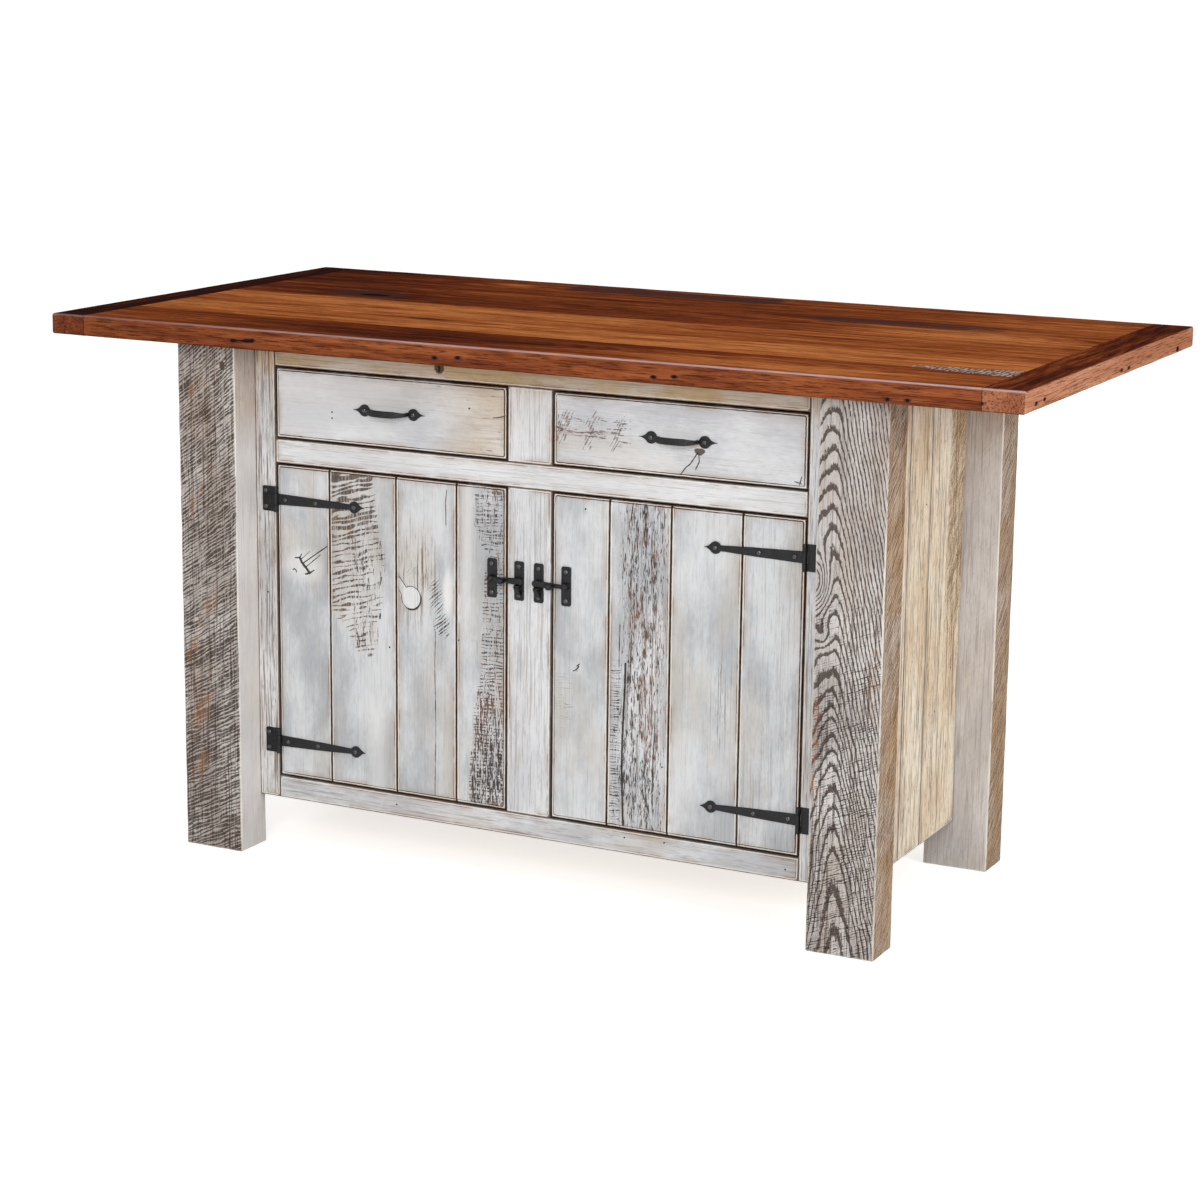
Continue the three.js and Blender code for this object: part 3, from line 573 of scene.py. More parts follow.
def tan_board(name, corners, seed, step):
    """One upright board, stained unevenly, with faint worm pits and a saw's direction but no strokes yet."""
    board = Board(name, *corners, UP, BOARD_EASE, step, seed)
    blank(board, tone=0.34, glaze=0.95, open=0.85)
    board.sawn(math.radians(46), 5.5 * MM)
    board.marks["pits"] = 0.3 * (0.5 + 0.5 * waves(board.u * 3, board.v * 9, seed))
    board.mark("tone", 0.35 * waves(board.u * 1.2, board.v * 7, seed + 2))
    return board


for side, label in ((-1, "left"), (1, "right")):
    node = f"side_panel_{label}"
    for number, corners in enumerate(boards_in(*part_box(node), BACK, SIDE_BOARD_WIDTHS), 1):
        board = tan_board(f"side_board_{label}_{number}", corners, 40 + 7 * number + side, 6 * MM)
        if number == len(SIDE_BOARD_WIDTHS):
            sawn_edge = smooth((board.y - 0.045) / 0.02) * smooth((board.z - 0.30) / 0.25)
            board.marks["saw"] = 0.9 * sawn_edge
            board.mark("tone", 0.6 * sawn_edge)
            arch = board.z + 2.6 * (np.sqrt((board.y - 0.055) ** 2 + 0.012 ** 2) - 0.012)
            board.marks["rings"] = np.where(board.facing(ACROSS, side), arch / 0.034, board.marks["rings"])
        fit(board.build(tan_boards), "case", "tan_boards", node)

PART_SAWN = (2, 6)
for number, corners in enumerate(boards_in(*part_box("back_panel"), ACROSS, BACK_BOARD_WIDTHS), 1):
    board = tan_board(f"back_board_{number}", corners, 80 + number, 8 * MM)
    if number in PART_SAWN:
        board.marks["saw"] = 0.5 * smooth((0.5 + 0.5 * waves(board.u * 2, board.v * 5, number) - 0.4) / 0.3)
    fit(board.build(tan_boards), "case", "tan_boards", "back_panel")


# ---------------------------------------------------------------- face frame
# Stiles and rails of painted oak, butted flush and pinned, with brown glaze wiped into the corners. The
# grain runs along each member, so it turns at every joint.

whitewash = limed_wood(
    "whitewashed_wood", 0.6,
    (216, 217, 219), (184, 185, 189), (194, 186, 177), (198, 170, 124),
)
FRAME_EASE = 0.8 * MM
FRAME_STEP = 4 * MM
FRAME_MEMBERS = (
    ("stile_left", UP, {"open": 0.3, "tone": 0.1}), ("stile_right", UP, {}),
    # the top rail's tan tone is painted warm shade under the worktop
    ("rail_top", ACROSS, {"tone": 0.85, "open": -0.25}), ("rail_middle", ACROSS, {"bare": 0.6}),
    ("rail_bottom", ACROSS, {"open": -0.2, "tone": 0.05, "pits": 0.05}),
    ("stile_centre_upper", UP, {"bare": 0.45}), ("stile_centre_lower", UP, {"bare": 0.3}),
)
SHADED_UNDER_TOP = ("stile_left", "stile_right", "stile_centre_upper")
for seed, (node, grain_axis, changes) in enumerate(FRAME_MEMBERS, 101):
    member = Board(f"frame_{node}", *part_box(node), grain_axis, FRAME_EASE, FRAME_STEP, seed)
    blank(member, glaze=0.85, open=0.55)
    shaded_gap_sides(member)
    # tan towards the top of the stiles: painted warm shade under the worktop
    if node in SHADED_UNDER_TOP:
        member.mark("tone", 0.8 * smooth((member.z - 0.80) / 0.06))
    for key, change in changes.items():
        member.mark(key, change)
    if node == "rail_top":
        member.spot("stain", 1.0, (-0.1683, 0.8592), (0.009, 0.010))
        member.crack(((-0.172, 0.866), (-0.168, 0.860), (-0.169, 0.853)), 4, 0.8)
    fit(member.build(whitewash, 0.5, 0.2 * MM), "case", "whitewashed_wood", node)


# ---------------------------------------------------------------- case inside
# Plain pine that the boards hide: floor, drawer deck with its guide strips, shelf, and the cleats under
# the top and the shelf. It has a thin clear finish.

def inside_pine(name, grain_axis, turned_at=None):
    """Pine with its grain along an axis, and across it behind a place where another board is joined on."""
    pine = Finish(name, 0.6, 0.3)
    place = pine.node("ShaderNodeTexCoord", output="Object")
    if turned_at:
        other_way = [(i, pine.part(place, j)) for i, j in enumerate((BACK, ACROSS, UP))]
        swapped = pine.node("ShaderNodeCombineXYZ", other_way)
        behind = pine.math("GREATER_THAN", pine.part(place, BACK), turned_at)
        place = pine.node("ShaderNodeMix", [(4, place), (5, swapped), (0, behind)], 1, data_type="VECTOR")

    def paces(along, across):
        return [along if axis == grain_axis else across for axis in range(3)]

    bands = pine.noise(place, paces(1.6, 60), 2, 0.5, twist=0.6)
    fibre = pine.noise(place, paces(14, 620))
    pine.colour = pine.over(shade(214, 184, 138), bands.between(0.42, 0.6), shade(190, 150, 100))
    pine.lay(fibre.between(0.5, 0.75) * 0.45, shade(160, 120, 80))
    return pine.done(fibre, 0.3 * MM)


def refinish(node, material):
    """Gives a construction node that stays in sight another material."""
    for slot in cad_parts[node].material_slots:
        slot.material = material


pine_across = inside_pine("inside_pine_across", ACROSS)
pine_deep = inside_pine("inside_pine_deep", BACK)
DRAWER_WALL = 12.7 * MM
pine_box = inside_pine("inside_pine_box", BACK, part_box("drawer_left_box")[1].y - DRAWER_WALL - 0.2 * MM)
for node in ("cabinet_floor", "drawer_deck", "shelf"):
    refinish(node, pine_across)
for label in ("left", "right"):
    refinish(f"drawer_{label}_bottom", pine_across)
    refinish(f"drawer_{label}_box", pine_box)
    refinish(f"top_cleat_{label}", pine_deep)
    refinish(f"shelf_cleat_{label}", pine_deep)


# ---------------------------------------------------------------- worktop
# Five planks of old hardwood glued edge to edge, with a breadboard end across each end, stained reddish
# brown and varnished. Each plank took the stain its own way, and the outer edges are rounded over.

TOP_EDGE = 5 * MM
SEAM_EASE = 0.6 * MM
TOP_STEP = 6 * MM
EDGE_NAILS = (
    (-0.497, 0.8925), (-0.470, 0.8945), (-0.459, 0.8955), (-0.115, 0.892), (-0.073, 0.895), (0.270, 0.8905),
    (0.305, 0.8935), (0.6515, 0.886), (0.683, 0.887), (0.795, 0.892),
)
END_NAILS = (
    (-0.383, 0.891), (-0.346, 0.892), (0.029, 0.889), (0.067, 0.888), (0.339, 0.8845), (0.339, 0.888),
)

def stained_wood(name):
    """Stained and varnished wood: its colour runs from golden to purple black with each vertex's tone."""
    wood = Finish(name, 0.42, 0.0)
    grain, cut = wood.attribute("grain", "Vector"), wood.attribute("cut", "Vector")
    marks = ("tone", "rings", "red", "end", "bloom_and_sheen", "saw", "edge", "painted_highlight")
    tone, rings, red, end, bloom_and_sheen, saw, edge, painted_highlight = map(wood.attribute, marks)
    broad = wood.noise(grain, (1.3, 20, 20), 4, 0.6)
    streak = wood.noise(grain, (5, 66, 66), 5, 0.76, (2, 3, 1))
    fine = wood.noise(grain, (22, 340, 340), 4, 0.7, (7, 1, 4))
    hair = wood.noise(grain, (18, 420, 420), 4, 0.7, (1, 6, 2))
    phase = wood.math("FRACT", rings + streak * 1.3)
    ring = phase.between(0.3, 0.9) * phase.between(0.92, 1.0, 1.0, 0.0)
    level = tone + (broad - 0.5) * 0.75 + (streak - 0.5) * 1.25 + (fine - 0.5) * 0.7 + (ring - 0.4) * 0.14
    wood.colour = wood.node("ShaderNodeValToRGB", [("Fac", level)], "Color")
    stops = (
        (0.0, shade(208, 130, 74)), (0.28, shade(168, 92, 48)), (0.5, shade(132, 66, 36)),
        (0.72, shade(94, 44, 28)), (1.0, shade(52, 27, 24)),
    )
    ramp = wood.colour.socket.node.color_ramp
    while len(ramp.elements) < len(stops):
        ramp.elements.new(0.5)
    for element, (position, colour) in zip(ramp.elements, stops):
        element.position, element.color = position, colour
    # the redder front edge, the pale end grain, dark pores, and smoky bloom round old nails and knots; the same
    # smoky colours paint a hazy sheen on the rear planks, a painted reflection
    wood.lay(red * 0.75, wood.over(shade(126, 68, 42), streak.between(0.4, 0.6), shade(98, 50, 32)))
    wood.lay(end, wood.over(shade(216, 158, 126), broad.between(0.36, 0.6), shade(176, 116, 86)))
    pores = hair.between(0.52, 0.6)
    wood.lay(pores * (red * 0.25 + 0.5), shade(56, 24, 16))
    stain_and_sheen = (bloom_and_sheen + (streak - 0.5) * 1.2).between(0.32, 0.62)
    wood.lay(stain_and_sheen * 0.85, wood.over(shade(56, 34, 32), fine, shade(88, 62, 60)))
    wood.lay(bloom_and_sheen.between(0.9, 1.0), shade(34, 20, 15))
    # a patch left rough from the saw, silver in its grooves
    wobble = wood.noise(cut, (0.3, 0.6, 1), 3, 0.6)
    teeth = wood.noise(cut, (0.4, 0.6, 1), 4, 0.75)
    groove = wood.stripes(wood.part(cut, 1) + wobble * 3) + teeth * -1.3 + saw * -0.2
    silver = groove.between(-0.72, -0.5, 1.0, 0.0) * saw.between(0.05, 0.3)
    wood.lay(saw.between(0.1, 0.5) * 0.7, shade(88, 62, 52))
    wood.lay(silver * 0.85, shade(196, 182, 176))
    # seams, and a painted highlight along the rounded front edge, where the varnish would reflect the light
    wood.lay(edge.between(0.0, 1.2 * MM, 1.0, 0.0) * 0.55, shade(46, 24, 18))
    wood.lay(painted_highlight * broad.between(0.3, 0.5, 0.65, 1.0), shade(206, 178, 180))
    wood.put(streak.between(0.3, 0.7, 0.36, 0.5), wood.shader.inputs["Roughness"])
    return wood.done(fine * 0.4 + streak * 0.4 + pores * -0.5 + silver * -0.6, 0.5 * MM)


worktop_stain = stained_wood("worktop_stain")
TOP_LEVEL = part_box("top_board_1")[1].z
TOP_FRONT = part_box("top_board_1")[0].y


def stained(board, tone):
    """Sets each mark that the stain reads, with a painted highlight along the front rounding."""
    for key in ("saw", "bloom_and_sheen", "end"):
        board.marks[key] = np.zeros(len(board.places))
    inward, down = board.y - TOP_FRONT, TOP_LEVEL - board.z
    # a painted highlight on the front rounding, fainter towards the left end
    on_edge = (inward < 6.5 * MM) & (down < 4 * MM)
    highlight_band = smooth((5 * MM - inward) / (2.5 * MM)) * smooth((3.4 * MM - down) / (2 * MM))
    highlight_band *= 0.35 + 0.65 * smooth((board.x + 0.75) / 0.6)
    board.marks["painted_highlight"] = np.where(on_edge, highlight_band, 0.0) * 0.6
    board.marks["red"] = (inward < 1e-6) * 1.0
    board.marks["tone"] = np.where(inward < 1e-6, 0.36, tone)


def pierced(board, axis, sign, holes):
    """Old nail holes in an edge of the top: each is (place along it, height), sunk and stained round it."""
    along, face = board.places[:, 1 - axis], board.facing(axis, sign)
    for hole in holes:
        board.carved += 1.1 * MM * face * oval(along, board.z, hole, (4.0 * MM, 2.7 * MM), 0.3)
        board.mark("bloom_and_sheen", face * oval(along, board.z, hole, (7 * MM, 3.4 * MM), 0.5))


def knotted(board, *knots):
    """Knots in the top, each (middle, half size, strength): dark spots with the stain bloomed round them."""
    for centre, (half_length, half_width), strength in knots:
        board.mark("bloom_and_sheen", strength * oval(board.x, board.y, centre, (half_length, half_width), 0.7))
        spread = (half_length * 2.2, half_width * 1.6)
        board.marks["tone"] += 0.25 * oval(board.x, board.y, centre, spread, 0.8)


def toned(board, *changes):
    """Darkens or lightens stretches of a plank: each is (middle, half size, change of tone)."""
    for centre, size, change in changes:
        board.marks["tone"] += board.top * change * oval(board.x, board.y, centre, size, 0.8)


def rough_patch(board, start, past_line):
    """Leaves the right end of a plank rough from the saw, past a line across it."""
    board.sawn(math.radians(4), 9 * MM)
    board.marks["saw"] = board.top * smooth((board.x - start) / 0.03) * smooth(past_line / 0.012)


def painted_sheen(board, strength, left, right, soft_ends, front, back, soft_sides):
    """A stretch of a plank between two ends and two sides, painted with a hazy dark purple sheen: a painted
    reflection of the varnish.
    """
    stretch = strength * board.top * within(board.x, left, right, soft_ends)
    board.mark("bloom_and_sheen", stretch * within(board.y, front, back, soft_sides))


def plank_1(board):
    toned(board, ((-0.60, -0.36), (0.30, 0.07), -0.12), ((-0.15, -0.36), (0.45, 0.08), 0.2),
          ((0.42, -0.38), (0.36, 0.07), -0.34))
    rough_patch(board, 0.64, board.y + 0.290 + 0.12 * (board.x - 0.64))
    pierced(board, BACK, -1, EDGE_NAILS[:-1])
    scar = within(board.x, -0.5, -0.457, 3 * MM) * within(board.z, 0.8915, 0.8955, 2 * MM)
    board.mark("bloom_and_sheen", 0.95 * scar * board.front)


def plank_2(board):
    knotted(board, ((-0.283, -0.165), (0.05, 0.014), 0.6), ((0.149, -0.215), (0.03, 0.008), 0.45),
            ((0.570, -0.205), (0.02, 0.006), 0.4))
    toned(board, ((-0.55, -0.2), (0.2, 0.05), 0.1), ((0.2, -0.23), (0.5, 0.02), -0.12))
    rough_patch(board, 0.62, -0.252 + 0.12 * (board.x - 0.64) - board.y)


def plank_3(board):
    knotted(board, ((-0.431, -0.074), (0.04, 0.012), 0.6), ((-0.170, -0.064), (0.05, 0.010), 0.5))
    toned(board, ((-0.3, -0.06), (0.35, 0.06), -0.28), ((0.35, -0.10), (0.25, 0.05), 0.04))


def plank_4(board):
    knotted(board, ((-0.562, 0.098), (0.085, 0.05), 0.7), ((-0.53, 0.08), (0.04, 0.014), 0.5))
    toned(board, ((-0.1, 0.12), (0.3, 0.06), 0.1), ((0.3, 0.05), (0.3, 0.02), -0.15),
          ((0.6, 0.1), (0.2, 0.08), -0.4))
    # a hazy sheen painted towards the back: a painted reflection
    painted_sheen(board, 0.6, 0.25, 0.62, 0.1, 0.165, 0.2, 0.02)


def plank_5(board):
    # hazy sheens painted towards the back: painted reflections
    painted_sheen(board, 0.7, -0.30, 0.14, 0.06, 0.33, 0.41, 0.04)
    painted_sheen(board, 0.6, 0.25, 0.63, 0.1, 0.19, 0.24, 0.02)
    toned(board, ((-0.8, 0.3), (0.3, 0.2), 0.25), ((-0.391, 0.351), (0.04, 0.02), -0.4),
          ((0.7, 0.3), (0.2, 0.15), -0.2))


def lines_round(holes):
    """Close mesh lines along an edge of the top, round each hole in it."""
    return [(at - 5 * MM, at + 5 * MM, 0.9 * MM) for at, _ in holes]


TOP_PLANKS = ((plank_1, 0.54), (plank_2, 0.15), (plank_3, 0.28), (plank_4, 0.54), (plank_5, 0.52))
HOLE_HEIGHTS = [(0.881, 0.8995, 0.9 * MM)]
for number, (marked, tone) in enumerate(TOP_PLANKS, 1):
    node = f"top_board_{number}"
    outer = {1: [(BACK, -1)], 5: [(BACK, 1)]}.get(number, [])
    fine = {ACROSS: lines_round(EDGE_NAILS[:-1]), UP: HOLE_HEIGHTS} if number == 1 else None
    plank = Board(
        f"plank_{number}", *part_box(node), ACROSS, SEAM_EASE, TOP_STEP, 120 + number, outer, TOP_EDGE,
        fine=fine,
    )
    stained(plank, tone)
    marked(plank)
    fit(plank.build(worktop_stain, 0.4, 0.2 * MM), "case", "worktop_stain", node)

END_FINE = {BACK: lines_round(END_NAILS), UP: HOLE_HEIGHTS, ACROSS: lines_round(EDGE_NAILS[-1:])}
for side, label, tone, end_front, fine in ((-1, "left", 1.0, 0.05, None), (1, "right", 0.70, 0.4, END_FINE)):
    node = f"breadboard_{label}"
    outer = [(ACROSS, side), (BACK, -1), (BACK, 1)]
    plank = Board(
        f"breadboard_end_{label}", *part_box(node), BACK, SEAM_EASE, TOP_STEP, 130 + side, outer, TOP_EDGE,
        fine=fine,
    )
    stained(plank, tone)
    outside = plank.facing(ACROSS, side)
    plank.marks["red"] = np.where(outside, 0.3, plank.marks["red"])
    plank.marks["end"] = np.maximum(plank.front * end_front, outside * 0.95)
    if side < 0:
        plank.marks["tone"] = np.where(plank.front, 0.62, plank.marks["tone"])
        plank.marks["red"] = plank.marks["red"] * 0.4
    else:
        pierced(plank, ACROSS, 1, END_NAILS)
        pierced(plank, BACK, -1, EDGE_NAILS[-1:])
    fit(plank.build(worktop_stain, 0.4, 0.2 * MM), "case", "worktop_stain", node)

# ---------------------------------------------------------------- doors
# Four upright boards to a door, screwed from behind to a Z brace. The boards came from different old
# planks, so each has its own knots, saw marks and worm pits under the paint.

DOOR_EASE = 1.8 * MM
DOOR_STEP = 3 * MM
door_whitewash = limed_wood(
    "door_whitewash", 0.6,
    (208, 209, 210), (172, 174, 177), (188, 181, 171), (196, 170, 130),
)

def star_cracked(board):
    """A pale oval knot, split by a star-shaped crack whose long arms run up to the right."""
    board.spot("bare", 0.6 * board.front, (-0.434, 0.502), (0.036, 0.026), 0.5)
    board.spot("tone", 0.25, (-0.462, 0.545), (0.02, 0.03), 0.8)
    board.spot("pits", 0.3, (-0.474, 0.505), (0.006, 0.02), 0.5)
    board.crack(((-0.441, 0.516), (-0.437, 0.508), (-0.429, 0.500), (-0.422, 0.492)), 3.8, 1.4)
    board.crack(((-0.450, 0.515), (-0.441, 0.516), (-0.437, 0.523)), 1.6, 0.8)
    board.crack(((-0.430, 0.489), (-0.422, 0.491), (-0.413, 0.497)), 2.0, 0.8)
    board.crack(((-0.436, 0.506), (-0.412, 0.523), (-0.386, 0.541)), 1.2, 0.7)
    board.crack(((-0.430, 0.500), (-0.400, 0.525)), 0.9, 0.5)
    board.crack(((-0.440, 0.512), (-0.421, 0.529)), 0.8, 0.5)
    board.crack(((-0.455, 0.494), (-0.451, 0.496), (-0.448, 0.493), (-0.448, 0.490)), 1.1, 0.5)


def band_sawn(board):
    """Coarse saw strokes from the top down to the middle, rusty with worm pits in their lower half."""
    x, z = board.x, board.z
    heights = (0.34, 0.40, 0.45, 0.52, 0.60, 0.68)
    right = np.interp(z, heights, (-0.305, -0.287, -0.281, -0.272, -0.290, -0.300))
    left = np.interp(z, (0.34, 0.40, 0.44), (-0.312, -0.345, -0.39))
    patch = smooth((right - x) / 0.014 + 0.5) * smooth((x - left) / 0.014 + 0.5) * smooth((z - 0.35) / 0.03)
    board.sawn(math.radians(14), 9.4 * MM)
    uneven = 0.8 + 0.6 * waves(x * 20, z * 28, 4)
    uneven -= 0.35 * smooth((x + 0.33) / 0.04) * smooth((0.60 - z) / 0.06)
    strength = np.interp(z, (0.36, 0.5, 0.6, 0.67), (0.55, 0.7, 1.0, 1.4))
    board.marks["saw"] = board.front * patch * np.clip(uneven, 0.1, 1.4) * strength
    board.marks["rust"] = 0.4 * patch * within(x, -0.385, -0.33, 0.02) * within(z, 0.40, 0.60, 0.06)
    board.marks["pits"] = 0.45 * patch * within(x, -0.34, -0.27, 0.02) * within(z, 0.35, 0.62, 0.05)
    board.mark("tone", 0.2 * patch)
    board.mark("bare", 0.4 * within(x, -0.305, -0.275, 0.02) * smooth((0.34 - z) / 0.08))
    board.crack(((-0.2830, 0.437), (-0.2835, 0.429)), 2.2, 0.8)


def plugged(board):
    """A round filler plug with a tail at its left, a dark rim that is wider at its lower right as painted
    shadow, fuzzy saw marks at its right, and a thin crack below.
    """
    x, z, front = board.x, board.z, board.front
    plug_x, plug_z, plug_radius = -0.2225, 0.4705, 18.5 * MM
    tail = line_distance(x, z, ((-0.249, 0.497), (-0.237, 0.482))) - 7.5 * MM
    plug = np.minimum(np.hypot(x - plug_x, (z - plug_z) * 0.94) - plug_radius, tail)
    board.mark("bare", 0.55 * front * smooth(-plug / (1.5 * MM) + 0.5))
    # the rim's dark line is the plug's joint, widened at the lower right as painted shadow
    lower_right = smooth((x - plug_x - (z - plug_z)) / 0.02)
    rim_and_shadow = np.abs(plug) - 0.35 * MM - 0.9 * MM * lower_right
    board.marks["crack"] = np.where(front, np.minimum(board.marks["crack"], rim_and_shadow), board.marks["crack"])
    board.carved += 0.5 * MM * front * smooth(1 - np.abs(plug) / (1.1 * MM))
    board.spot("stain", 0.6 * front, (-0.249, 0.506), (0.004, 0.008), 0.6)
    ground = front * oval(x, z, (-0.215, 0.510), (0.034, 0.070), 0.6) * (1 - board.marks["bare"])
    board.mark("tone", 0.3 * ground)
    board.mark("open", 0.9 * ground)
    board.marks["saw"] = 0.1 * ground
    board.spot("bare", 0.85 * front, (-0.151, 0.490), (0.010, 0.036), 0.5)
    board.sawn(math.radians(40), 6.6 * MM)
    fuzzy = oval(x, z, (-0.174, 0.478), (0.011, 0.026), 0.5)
    fuzzy = fuzzy + 0.75 * oval(x, z, (-0.163, 0.430), (0.014, 0.018), 0.5)
    board.mark("saw", front * 0.9 * fuzzy)
    crack = [(-0.1765 + 0.0008 * math.sin(31 * h), h) for h in np.linspace(0.135, 0.42, 20)]
    board.crack(crack, 0.7, 0.4)
    board.crack(((-0.1560, 0.60), (-0.1565, 0.64), (-0.1545, 0.66)), 1.0, 0.4)


def dashed(board):
    """Short upright dashes in columns near the meeting edge, close together and cross-hatched at the foot."""
    x, z = board.x, board.z
    heights = (0.13, 0.30, 0.36, 0.56, 0.60, 0.67)
    side = np.interp(z, heights, (-0.112, -0.100, -0.088, -0.084, -0.100, -0.104))
    column = board.front * (smooth((x - side) / 0.012 + 0.5) * smooth((-0.048 - x) / 0.006 + 0.5))
    board.marks["pits"] = column * np.interp(z, (0.13, 0.30, 0.38, 0.6, 0.67), (1.0, 0.9, 0.38, 0.42, 0.5))
    board.sawn(math.radians(3), 6.4 * MM)
    board.marks["saw"] = column * np.interp(z, (0.13, 0.30, 0.42, 0.6, 0.67), (0.9, 0.75, 0.42, 0.48, 0.55))
    board.mark("bare", 0.5 * within(x, -0.125, -0.105, 0.02) * smooth((z - 0.35) / 0.2))


def small_knotted(board):
    """A smooth board with one small split knot and faint ripples below it."""
    board.spot("bare", 0.3 * board.front, (0.088, 0.3875), (0.012, 0.010), 0.6)
    board.crack(((0.082, 0.383), (0.087, 0.386), (0.092, 0.392)), 1.1, 0.6)
    board.crack(((0.088, 0.392), (0.093, 0.396)), 0.9, 0.4)
    board.spot("stain", 0.5 * board.front, (0.0885, 0.384), (0.002, 0.0025), 0.5)
    board.sawn(math.radians(4), 5 * MM)
    board.spot("saw", 0.16, (0.064, 0.33), (0.02, 0.05), 0.6)


def worm_eaten(board):
    """Worm galleries over most of the width, brown where they broke open, and long cracks at the left."""
    x, z, front = board.x, board.z, board.front
    eaten = within(x, 0.170, 0.244, 0.03) * (0.78 + 0.22 * waves(x * 20, z * 4, 9))
    board.marks["pits"] = front * np.clip(eaten + 0.35 * oval(x, z, (0.163, 0.22), (0.012, 0.10), 0.7), 0, 1)
    for middle, swing, pace, low, high, points, width, depth in (
        (0.1736, 0.0022, 19, 0.135, 0.407, 24, 2.8, 1.2),
        (0.166, 0.0015, 26, 0.40, 0.47, 6, 1.0, 0.5),
        (0.2285, 0.0015, 23, 0.20, 0.335, 9, 1.0, 0.5),
    ):
        heights = np.linspace(low, high, points)
        board.crack([(middle + swing * math.sin(pace * h), h) for h in heights], width, depth)
    board.sawn(math.radians(4), 5 * MM)
    board.marks["saw"] = front * 0.55 * within(x, 0.150, 0.168, 0.008) * within(z, 0.135, 0.40, 0.05)
    board.mark("rust", front * 0.5 * within(x, 0.180, 0.226, 0.03))
    board.mark("open", front * 0.5 * within(x, 0.170, 0.244, 0.03))


def streaked(board):
    """A smooth board with a grey streak low down."""
    board.spot("open", 0.5, (0.345, 0.37), (0.014, 0.07), 0.8)
    board.spot("pits", 0.16, (0.345, 0.36), (0.01, 0.05), 0.8)


def plain(board):
    """A smooth board with nothing but the paint's clouds on it."""
    board.mark("open", 0.1)


DOOR_MARKS = {
    "left": (star_cracked, band_sawn, plugged, dashed),
    "right": (small_knotted, worm_eaten, streaked, plain),
}
FINE_STRETCHES = {
    star_cracked: {ACROSS: [(-0.458, -0.384, 0.8 * MM)], UP: [(0.486, 0.545, 0.8 * MM)]},
    band_sawn: {ACROSS: [(-0.287, -0.280, 0.8 * MM)], UP: [(0.426, 0.440, 1 * MM)]},
    plugged: {ACROSS: [(-0.2505, -0.200, 0.75 * MM), (-0.179, -0.174, 0.6 * MM), (-0.158, -0.153, 0.7 * MM)],
              UP: [(0.448, 0.506, 0.75 * MM)]},
    small_knotted: {ACROSS: [(0.080, 0.096, 0.7 * MM)], UP: [(0.380, 0.398, 0.7 * MM)]},
    worm_eaten: {ACROSS: [(0.164, 0.178, 0.7 * MM), (0.226, 0.232, 0.7 * MM)]},
}
def shadowed_top(board, depth):
    """Widens the dark line at the top edge of a piece: painted shade of the gap above it, run a little way down
    its face.
    """
    board.marks["edge"] -= depth * smooth((board.z - board.high[2] + 6 * MM) / MM)


for side, label in ((-1, "left"), (1, "right")):
    for number, marked in enumerate(DOOR_MARKS[label], 1):
        node = f"door_{label}_board_{number}"
        lips = [(UP, -1), (UP, 1)]
        lips += [(ACROSS, -1)] if number == 1 else [(ACROSS, 1)] if number == 4 else []
        board = Board(
            f"door_plank_{label}_{number}", *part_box(node), UP, DOOR_EASE, DOOR_STEP, 200 + 10 * side + number,
            lips=lips, fine=FINE_STRETCHES.get(marked),
        )
        blank(board, glaze=1.0, open=0.12)
        shaded_gap_sides(board)
        shadowed_top(board, 0.4 * MM)
        marked(board)
        fit(board.build(door_whitewash), f"door_{label}", "whitewashed_wood", node)
    refinish(f"door_{label}_brace", pine_across)


# ---------------------------------------------------------------- drawer fronts
# One wide board to a drawer, glued and screwed to the drawer box behind it, with a routed lip all round.

def drawer_left_marks(board):
    """Split at the right edge, and a few specks near the top."""
    x, z = board.x, board.z
    towards_edge = smooth((x + 0.2) / 0.13)
    split = [(-0.068 + 0.024 * t, 0.7855 + 0.006 * t * t) for t in np.linspace(0, 1, 8)]
    board.crack(split, 1.0, 0.8)
    board.spot("stain", 0.35, (-0.163, 0.828), (0.012, 0.004), 0.6)
    board.mark("tone", 0.1 * smooth((z - 0.76) / 0.05) + 0.5 * towards_edge)
    board.mark("bare", 0.25 * smooth((-0.2 - x) / 0.1) - 0.15 * towards_edge)
    board.mark("pits", 0.12 * towards_edge)


def drawer_right_marks(board):
    """Scratched saw marks at the left, and a split brown knot under the pull's right lobe."""
    x, z, front = board.x, board.z, board.front
    board.sawn(math.radians(28), 6 * MM)
    leaning = x - 0.3 * (z - 0.78)
    clusters = ((0.056, 0.013), (0.108, 0.009), (0.157, 0.006))
    scratched = sum(within(leaning, middle - half, middle + half, 0.01) for middle, half in clusters)
    uneven = np.clip(0.7 + 0.8 * waves(x * 60, z * 45, 3), 0, 1.3)
    board.marks["saw"] = front * scratched * uneven * within(z, 0.755, 0.806, 0.03)
    board.mark("pits", front * 0.5 * within(x, 0.045, 0.18, 0.02) * within(z, 0.762, 0.800, 0.02))
    board.marks["rust"] = board.marks["saw"] * 0.7
    board.spot("stain", front, (0.3005, 0.7625), (0.009, 0.006), 0.6)
    board.spot("rust", front, (0.300, 0.765), (0.02, 0.01), 0.8)
    board.crack(((0.297, 0.760), (0.285, 0.742), (0.277, 0.735), (0.268, 0.723)), 1.3, 0.7)
    board.crack(((0.299, 0.758), (0.300, 0.746), (0.294, 0.734)), 1.2, 0.6)
    board.crack(((0.474, 0.738), (0.470, 0.724)), 1.0, 0.5)
    board.crack(((0.462, 0.730), (0.474, 0.727)), 0.9, 0.4)


